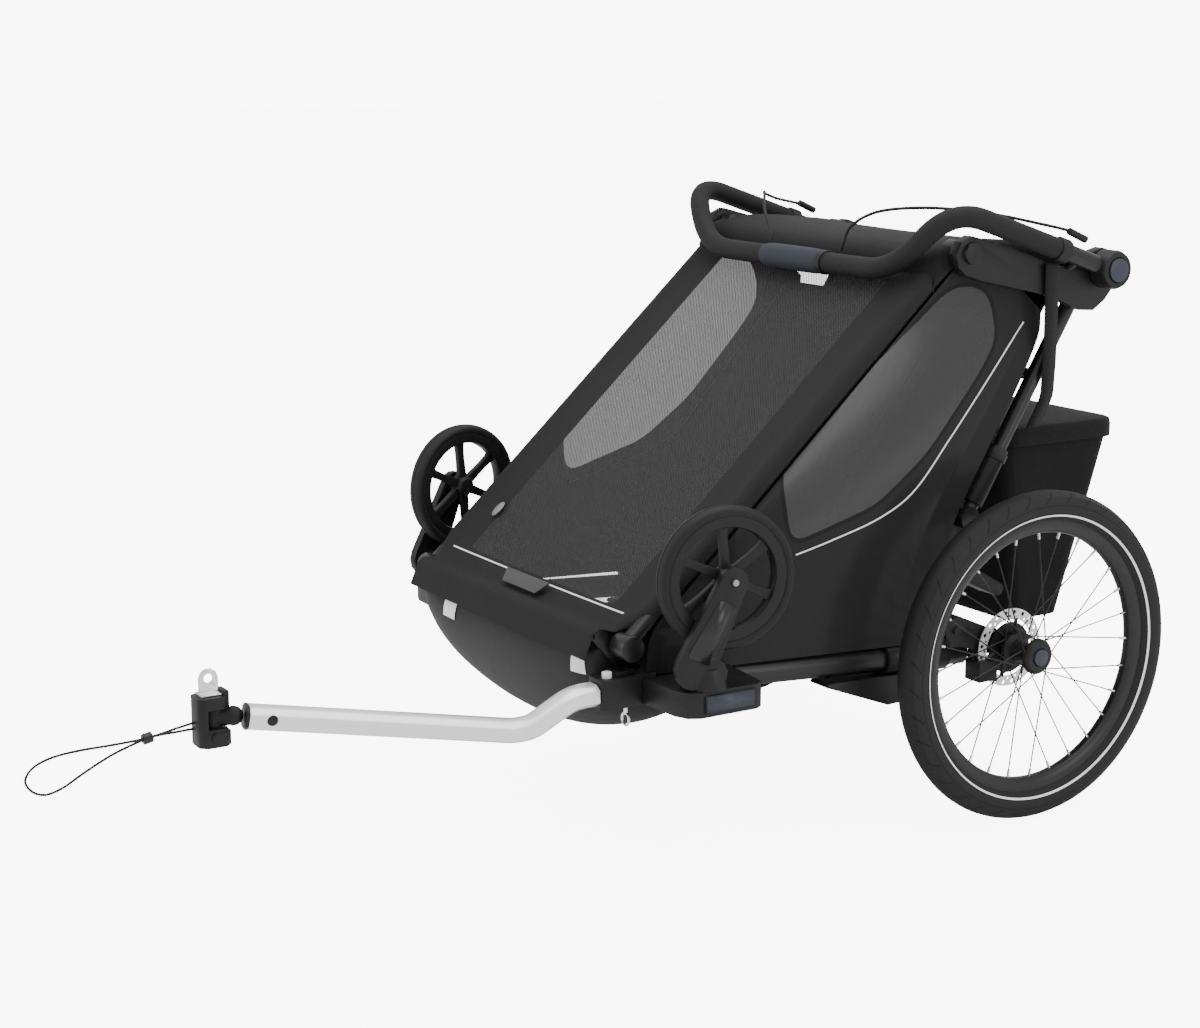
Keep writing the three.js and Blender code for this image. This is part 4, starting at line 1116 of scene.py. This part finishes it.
# %% Brake cables
LEFT_CABLE = [
    (96, -158, 836), (100, -156, 850), (108, -148, 874), (138, -120, 896), (196, -70, 903), (262, -10, 896),
    (312, 46, 882), (332, 84, 872),
]
RIGHT_CABLE = [
    (-84, -158, 836), (-88, -156, 850), (-112, -150, 882), (-150, -124, 906), (-196, -90, 902),
    (-262, -20, 888), (-314, 50, 876), (-332, 84, 870),
]
for side, route, sign in (("left", LEFT_CABLE, 1), ("right", RIGHT_CABLE, -1)):
    line = tube("part", smooth_line([place(*p) for p in route], 90), 0.0024, cord_sheath, 12)
    barrel_ends = [place(sign * 332, 80, 872), place(sign * 333.5, 112, 858)]
    barrel = tube("part", barrel_ends, 0.0055, black_plastic, 20)
    finish_piece(joined(f"brake_line_{side}", [line, barrel]), "handlebar", "cord", f"brake_cable_{side}")
print("handlebar made")

# %% [markdown]
# ## Wheels
# Tyre, rim and hub are lathed. The spokes run from two flanges to the rim, tangent to the hub, and each ends in a
# bright nipple. A pale reflective ring sits on the tyre's outer wall.

# %% Tyre profile
TYRE = [
    (206.3, -12), (209, -15), (214, -19), (221, -22.3), (228, -23), (235, -22), (240, -20), (243, -18.6),
    (243.6, -17.2), (247, -12), (249.3, -6), (250, 0), (249.3, 6), (247, 12), (243.6, 17.2), (243, 18.6),
    (240, 20), (235, 22), (228, 23), (221, 22.3), (214, 19), (209, 15), (206.3, 12),
]
RIM = [
    (189, -8), (197, -12), (205.8, -13), (207.5, -12.4), (207.5, 12.4), (205.8, 13), (197, 12), (189, 8),
    (187, 4), (186.5, 0), (187, -4),
]
HUB = [
    (0, -82), (7.6, -82), (8, -81), (8, -60), (15, -58), (15, -53), (22, -50), (25, -46), (25.5, -42), (25, -38),
    (18, -34), (16, -28), (15.5, -10), (17, -2), (24, 3), (27, 5), (27, 9), (24, 13), (22, 15), (14.2, 15.2),
    (13.6, 14.5), (13.6, 4.5), (0, 4.5),
]
RING = [(213.6, 19.2), (215, 20.0), (216.6, 20.9)]
SPOKES = 28
SPOKE_LEAD = math.radians(62)


def spoke_ends(k):
    rim_angle = k * 2 * math.pi / SPOKES
    lead = SPOKE_LEAD if k % 4 < 2 else -SPOKE_LEAD
    x = (6.5 if k % 2 else -41) + (1.6 if lead > 0 else -1.6)
    hub = Vector((x, 22 * math.cos(rim_angle + lead), 22 * math.sin(rim_angle + lead)))
    rim = Vector((0, 190 * math.cos(rim_angle), 190 * math.sin(rim_angle)))
    return hub / 1000, rim / 1000


# %% Wheel pieces
for side, sign in SIDES.items():
    centre = place(WHEEL_X * sign, *AXLE)
    facing = [(r, x * sign) for r, x in TYRE]
    facing = facing if sign > 0 else facing[::-1]
    tyre = lathe(f"tyre_rubber_{side}", facing, centre, tread_rubber, 192, closed=True)
    finish_piece(tyre, f"wheel_{side}", "tyre", f"tyre_{side}")
    ring = lathe(f"tyre_ring_{side}", [(r, (x + 0.5) * sign) for r, x in RING], centre, reflective_white, 192)
    finish_piece(ring, f"wheel_{side}", "tyre")
    parts = [
        lathe("part", [(r, x * sign) for r, x in RIM], centre, black_paint, 160, closed=True),
        lathe("part", [(r, x * sign) for r, x in HUB], centre, black_plastic, 64),
    ]
    for k in range(SPOKES):
        hub_end, rim_end = (Vector((p.x * sign, p.y, p.z)) + centre for p in spoke_ends(k))
        parts.append(tube("part", [hub_end, rim_end], 0.00105, black_paint, 8))
        nipple_foot = rim_end + (hub_end - rim_end).normalized() * 0.013
        parts.append(tube("part", [nipple_foot, rim_end], 0.0021, bright_steel, 8))
    spoked = joined(f"spoked_wheel_{side}", parts)
    finish_piece(spoked, f"wheel_{side}", "black_paint", f"wheel_{side}")

# %% Rotors
ROTOR_RING = [(44.3, 1), (60, 1), (60, -1), (44.3, -1)]  # [radius, x]
ROTOR_HUB = [(15.5, 1.6), (39, 1.0), (39, -1.0), (15.5, -1.6)]
ROTOR_INSET = 55  # from the wheel's middle plane, towards the floor frame
for side, sign in SIDES.items():
    centre = place((WHEEL_X - ROTOR_INSET) * sign, *AXLE)
    flat_ring = lathe("part", ROTOR_RING, centre, rotor_steel, 128, closed=True)
    finish_piece(flat_ring, f"wheel_{side}", "steel", f"brake_rotor_{side}")
    flat_ring.name = f"rotor_ring_{side}"
    spider = [lathe("part", ROTOR_HUB, centre, black_plastic, 64, closed=True)]
    for k in range(6):
        a = k * math.pi / 3
        inner_point = centre + Vector((0, 20 * math.cos(a), 20 * math.sin(a))) / 1000
        outer_point = centre + Vector((0, 46 * math.cos(a + 0.25), 46 * math.sin(a + 0.25))) / 1000
        spider.append(tube("part", [inner_point, outer_point], 0.003, black_paint, 8))
        bolt = centre + Vector((2.2 * sign, 46 * math.cos(a + 0.25), 46 * math.sin(a + 0.25))) / 1000
        spider.append(tube("part", [bolt - Vector((0.004 * sign, 0, 0)), bolt], 0.0038, bright_steel, 12))
    finish_piece(joined(f"rotor_spider_{side}", spider), f"wheel_{side}", "black_paint")
print("wheels and rotors made")

# %% [markdown]
# ## Stroller wheels
# The small wheels are parked upside down on the front corners, toed in by ten degrees.

# %% Stroller wheels
CASTER_STEM = (384, -590, 292)
CASTER_HUB_AT = (-14.6, 32.1, 146)
CASTER_TOE = math.radians(10)
CASTER_TYRE = [
    (86.5, -12), (88, -13.4), (92, -14), (95, -13.5), (98, -10.5), (99.4, -6), (100, -1.4), (99.2, -0.9),
    (99.2, 0.9), (100, 1.4), (99.4, 6), (98, 10.5), (95, 13.5), (92, 14), (88, 13.4), (86.5, 12),
]
CASTER_RIM = [
    (72, -10), (84, -12.5), (86.2, -11.8), (86.2, 11.8), (84, 12.5), (72, 10), (70.5, 7), (70.5, -7),
]
CASTER_SPOKE = [(9, 8.5), (20, 7.0), (45, 5.8), (64, 6.6), (72, 9.0)]  # [radius, half its width]
CASTER_HUB = [(0, -13), (12, -13), (16, -9), (16.5, 10), (14, 16.5), (0, 17)]
for side, sign in SIDES.items():
    toe = -CASTER_TOE * sign
    turn = Matrix.Rotation(toe, 3, "Z")
    stem = place(CASTER_STEM[0] * sign, *CASTER_STEM[1:])
    middle_point = stem + turn @ (Vector((CASTER_HUB_AT[0] * sign, *CASTER_HUB_AT[1:])) / 1000)
    facing = [(r, x * sign) for r, x in CASTER_TYRE]
    rim_facing = [(r, x * sign) for r, x in CASTER_RIM]
    hub_facing = [(r, x * sign) for r, x in CASTER_HUB]
    tyre = lathe("part", facing, middle_point, rubber, 96, closed=True, axis_turn=toe)
    rim = lathe("part", rim_facing, middle_point, black_plastic, 96, closed=True, axis_turn=toe)
    hub = lathe("part", hub_facing, middle_point, black_plastic, 48, axis_turn=toe)
    pieces = [tyre, rim, hub]
    for k in range(6):
        a = k * math.pi / 3 + 0.62
        outlines = []
        for radius, half in CASTER_SPOKE:
            radial = Vector((0, math.cos(a), math.sin(a)))
            tangential = Vector((0, -math.sin(a), math.cos(a)))
            corners = ((-half, -5), (half, -5), (half, 5), (-half, 5))
            spots = [radial * radius + tangential * u + Vector((w * sign, 0, 0)) for u, w in corners]
            outlines.append([middle_point + turn @ (spot / 1000) for spot in spots])
        spoke_piece = grid_piece("part", outlines, black_plastic, closed_u=True)
        pieces.append(soften(spoke_piece, 0.0012))
    finish_piece(joined(f"stroller_wheel_{side}", pieces), f"caster_wheel_{side}", "rubber", f"caster_wheel_{side}")

    # A raised frame on the fork's outer face, a hub bolt and the bracket's reflector.
    def on_fork(x, y, z):
        return stem + turn @ (Vector((x * sign, y, z)) / 1000)

    inset = rounded_outline([(-38, 50), (-4, 33), (37, 112), (11, 125)], 8)
    inset_points = [on_fork(17.4, y, z) for y, z in inset]
    face = new_piece(f"fork_inset_{side}", inset_points, [tuple(range(len(inset)))], glossy_plastic)
    finish_piece(solidify(face, 0.0012), f"caster_fork_{side}", "black_plastic")
    _, hub_y, hub_z = CASTER_HUB_AT
    bolt_ends = [on_fork(17, hub_y, hub_z), on_fork(20.5, hub_y, hub_z)]
    bolt = tube(f"fork_bolt_{side}", bolt_ends, 0.0045, dull_aluminium, 24)
    finish_piece(soften(bolt, 0.0008), f"caster_fork_{side}", "steel")
    reflector_corners = [(408.3, -606, 264), (408.3, -529, 264), (408.3, -529, 285), (408.3, -606, 285)]
    reflector_points = [place(x * sign, y, z) for x, y, z in reflector_corners]
    reflector = new_piece(f"bracket_reflector_{side}", reflector_points, [(0, 1, 2, 3)], slate_plastic)
    finish_piece(solidify(reflector, 0.001), "chassis", "slate_plastic")
print("stroller wheels made")

# %% [markdown]
# ## Studio
# A pale floor and a pale surround make a bright, even light. Three large soft lamps give the black tubes their
# highlights.

# %% Floor and lights
BACKDROP, FLOOR_GLOW = 9.0, 7.6  # how bright the surround and the floor look straight from the camera
floor_look = Look("floor", (0.93, 0.93, 0.93), 0.9, spread=0.02, grain=0, shine=0.1)
seen = floor_look.tree.nodes.new("ShaderNodeLightPath")
floor_look.shader.inputs["Emission Color"].default_value = (1, 1, 1, 1)
floor_look.link(maths(floor_look.tree, "MULTIPLY", seen.outputs["Is Camera Ray"], FLOOR_GLOW),
                floor_look.shader.inputs["Emission Strength"])
floor = new_piece("floor", [(-30, -30, 0), (30, -30, 0), (30, 30, 0), (-30, 30, 0)], [(0, 1, 2, 3)],
                  floor_look.material, smooth=False)
world = bpy.data.worlds.new("studio")
bpy.context.scene.world = world
world.use_nodes = True
background = world.node_tree.nodes["Background"]
background.inputs["Color"].default_value = (1, 1, 1, 1)
seen = world.node_tree.nodes.new("ShaderNodeLightPath")
world.node_tree.links.new(
    maths(world.node_tree, "MULTIPLY_ADD", seen.outputs["Is Camera Ray"], BACKDROP - 1.0, 1.0),
    background.inputs["Strength"],
)


def lamp(name, location, target, size, power):
    data = bpy.data.lights.new(name, "AREA")
    data.shape = "RECTANGLE"
    data.size, data.size_y = size
    data.energy = power
    obj = bpy.data.objects.new(name, data)
    obj.location = location
    obj.rotation_mode = "QUATERNION"
    obj.rotation_quaternion = (Vector(target) - Vector(location)).to_track_quat("-Z", "Y")
    bpy.context.scene.collection.objects.link(obj)


lamp("overhead", (0.3, 0.2, 3.2), (0, 0, 0.4), (3.0, 3.0), 60)
lamp("side", (3.6, 1.6, 1.9), (0, 0, 0.5), (1.6, 2.2), 30)
lamp("front", (-1.4, -3.4, 1.8), (0, 0, 0.5), (2.0, 1.6), 25)
print("studio ready")
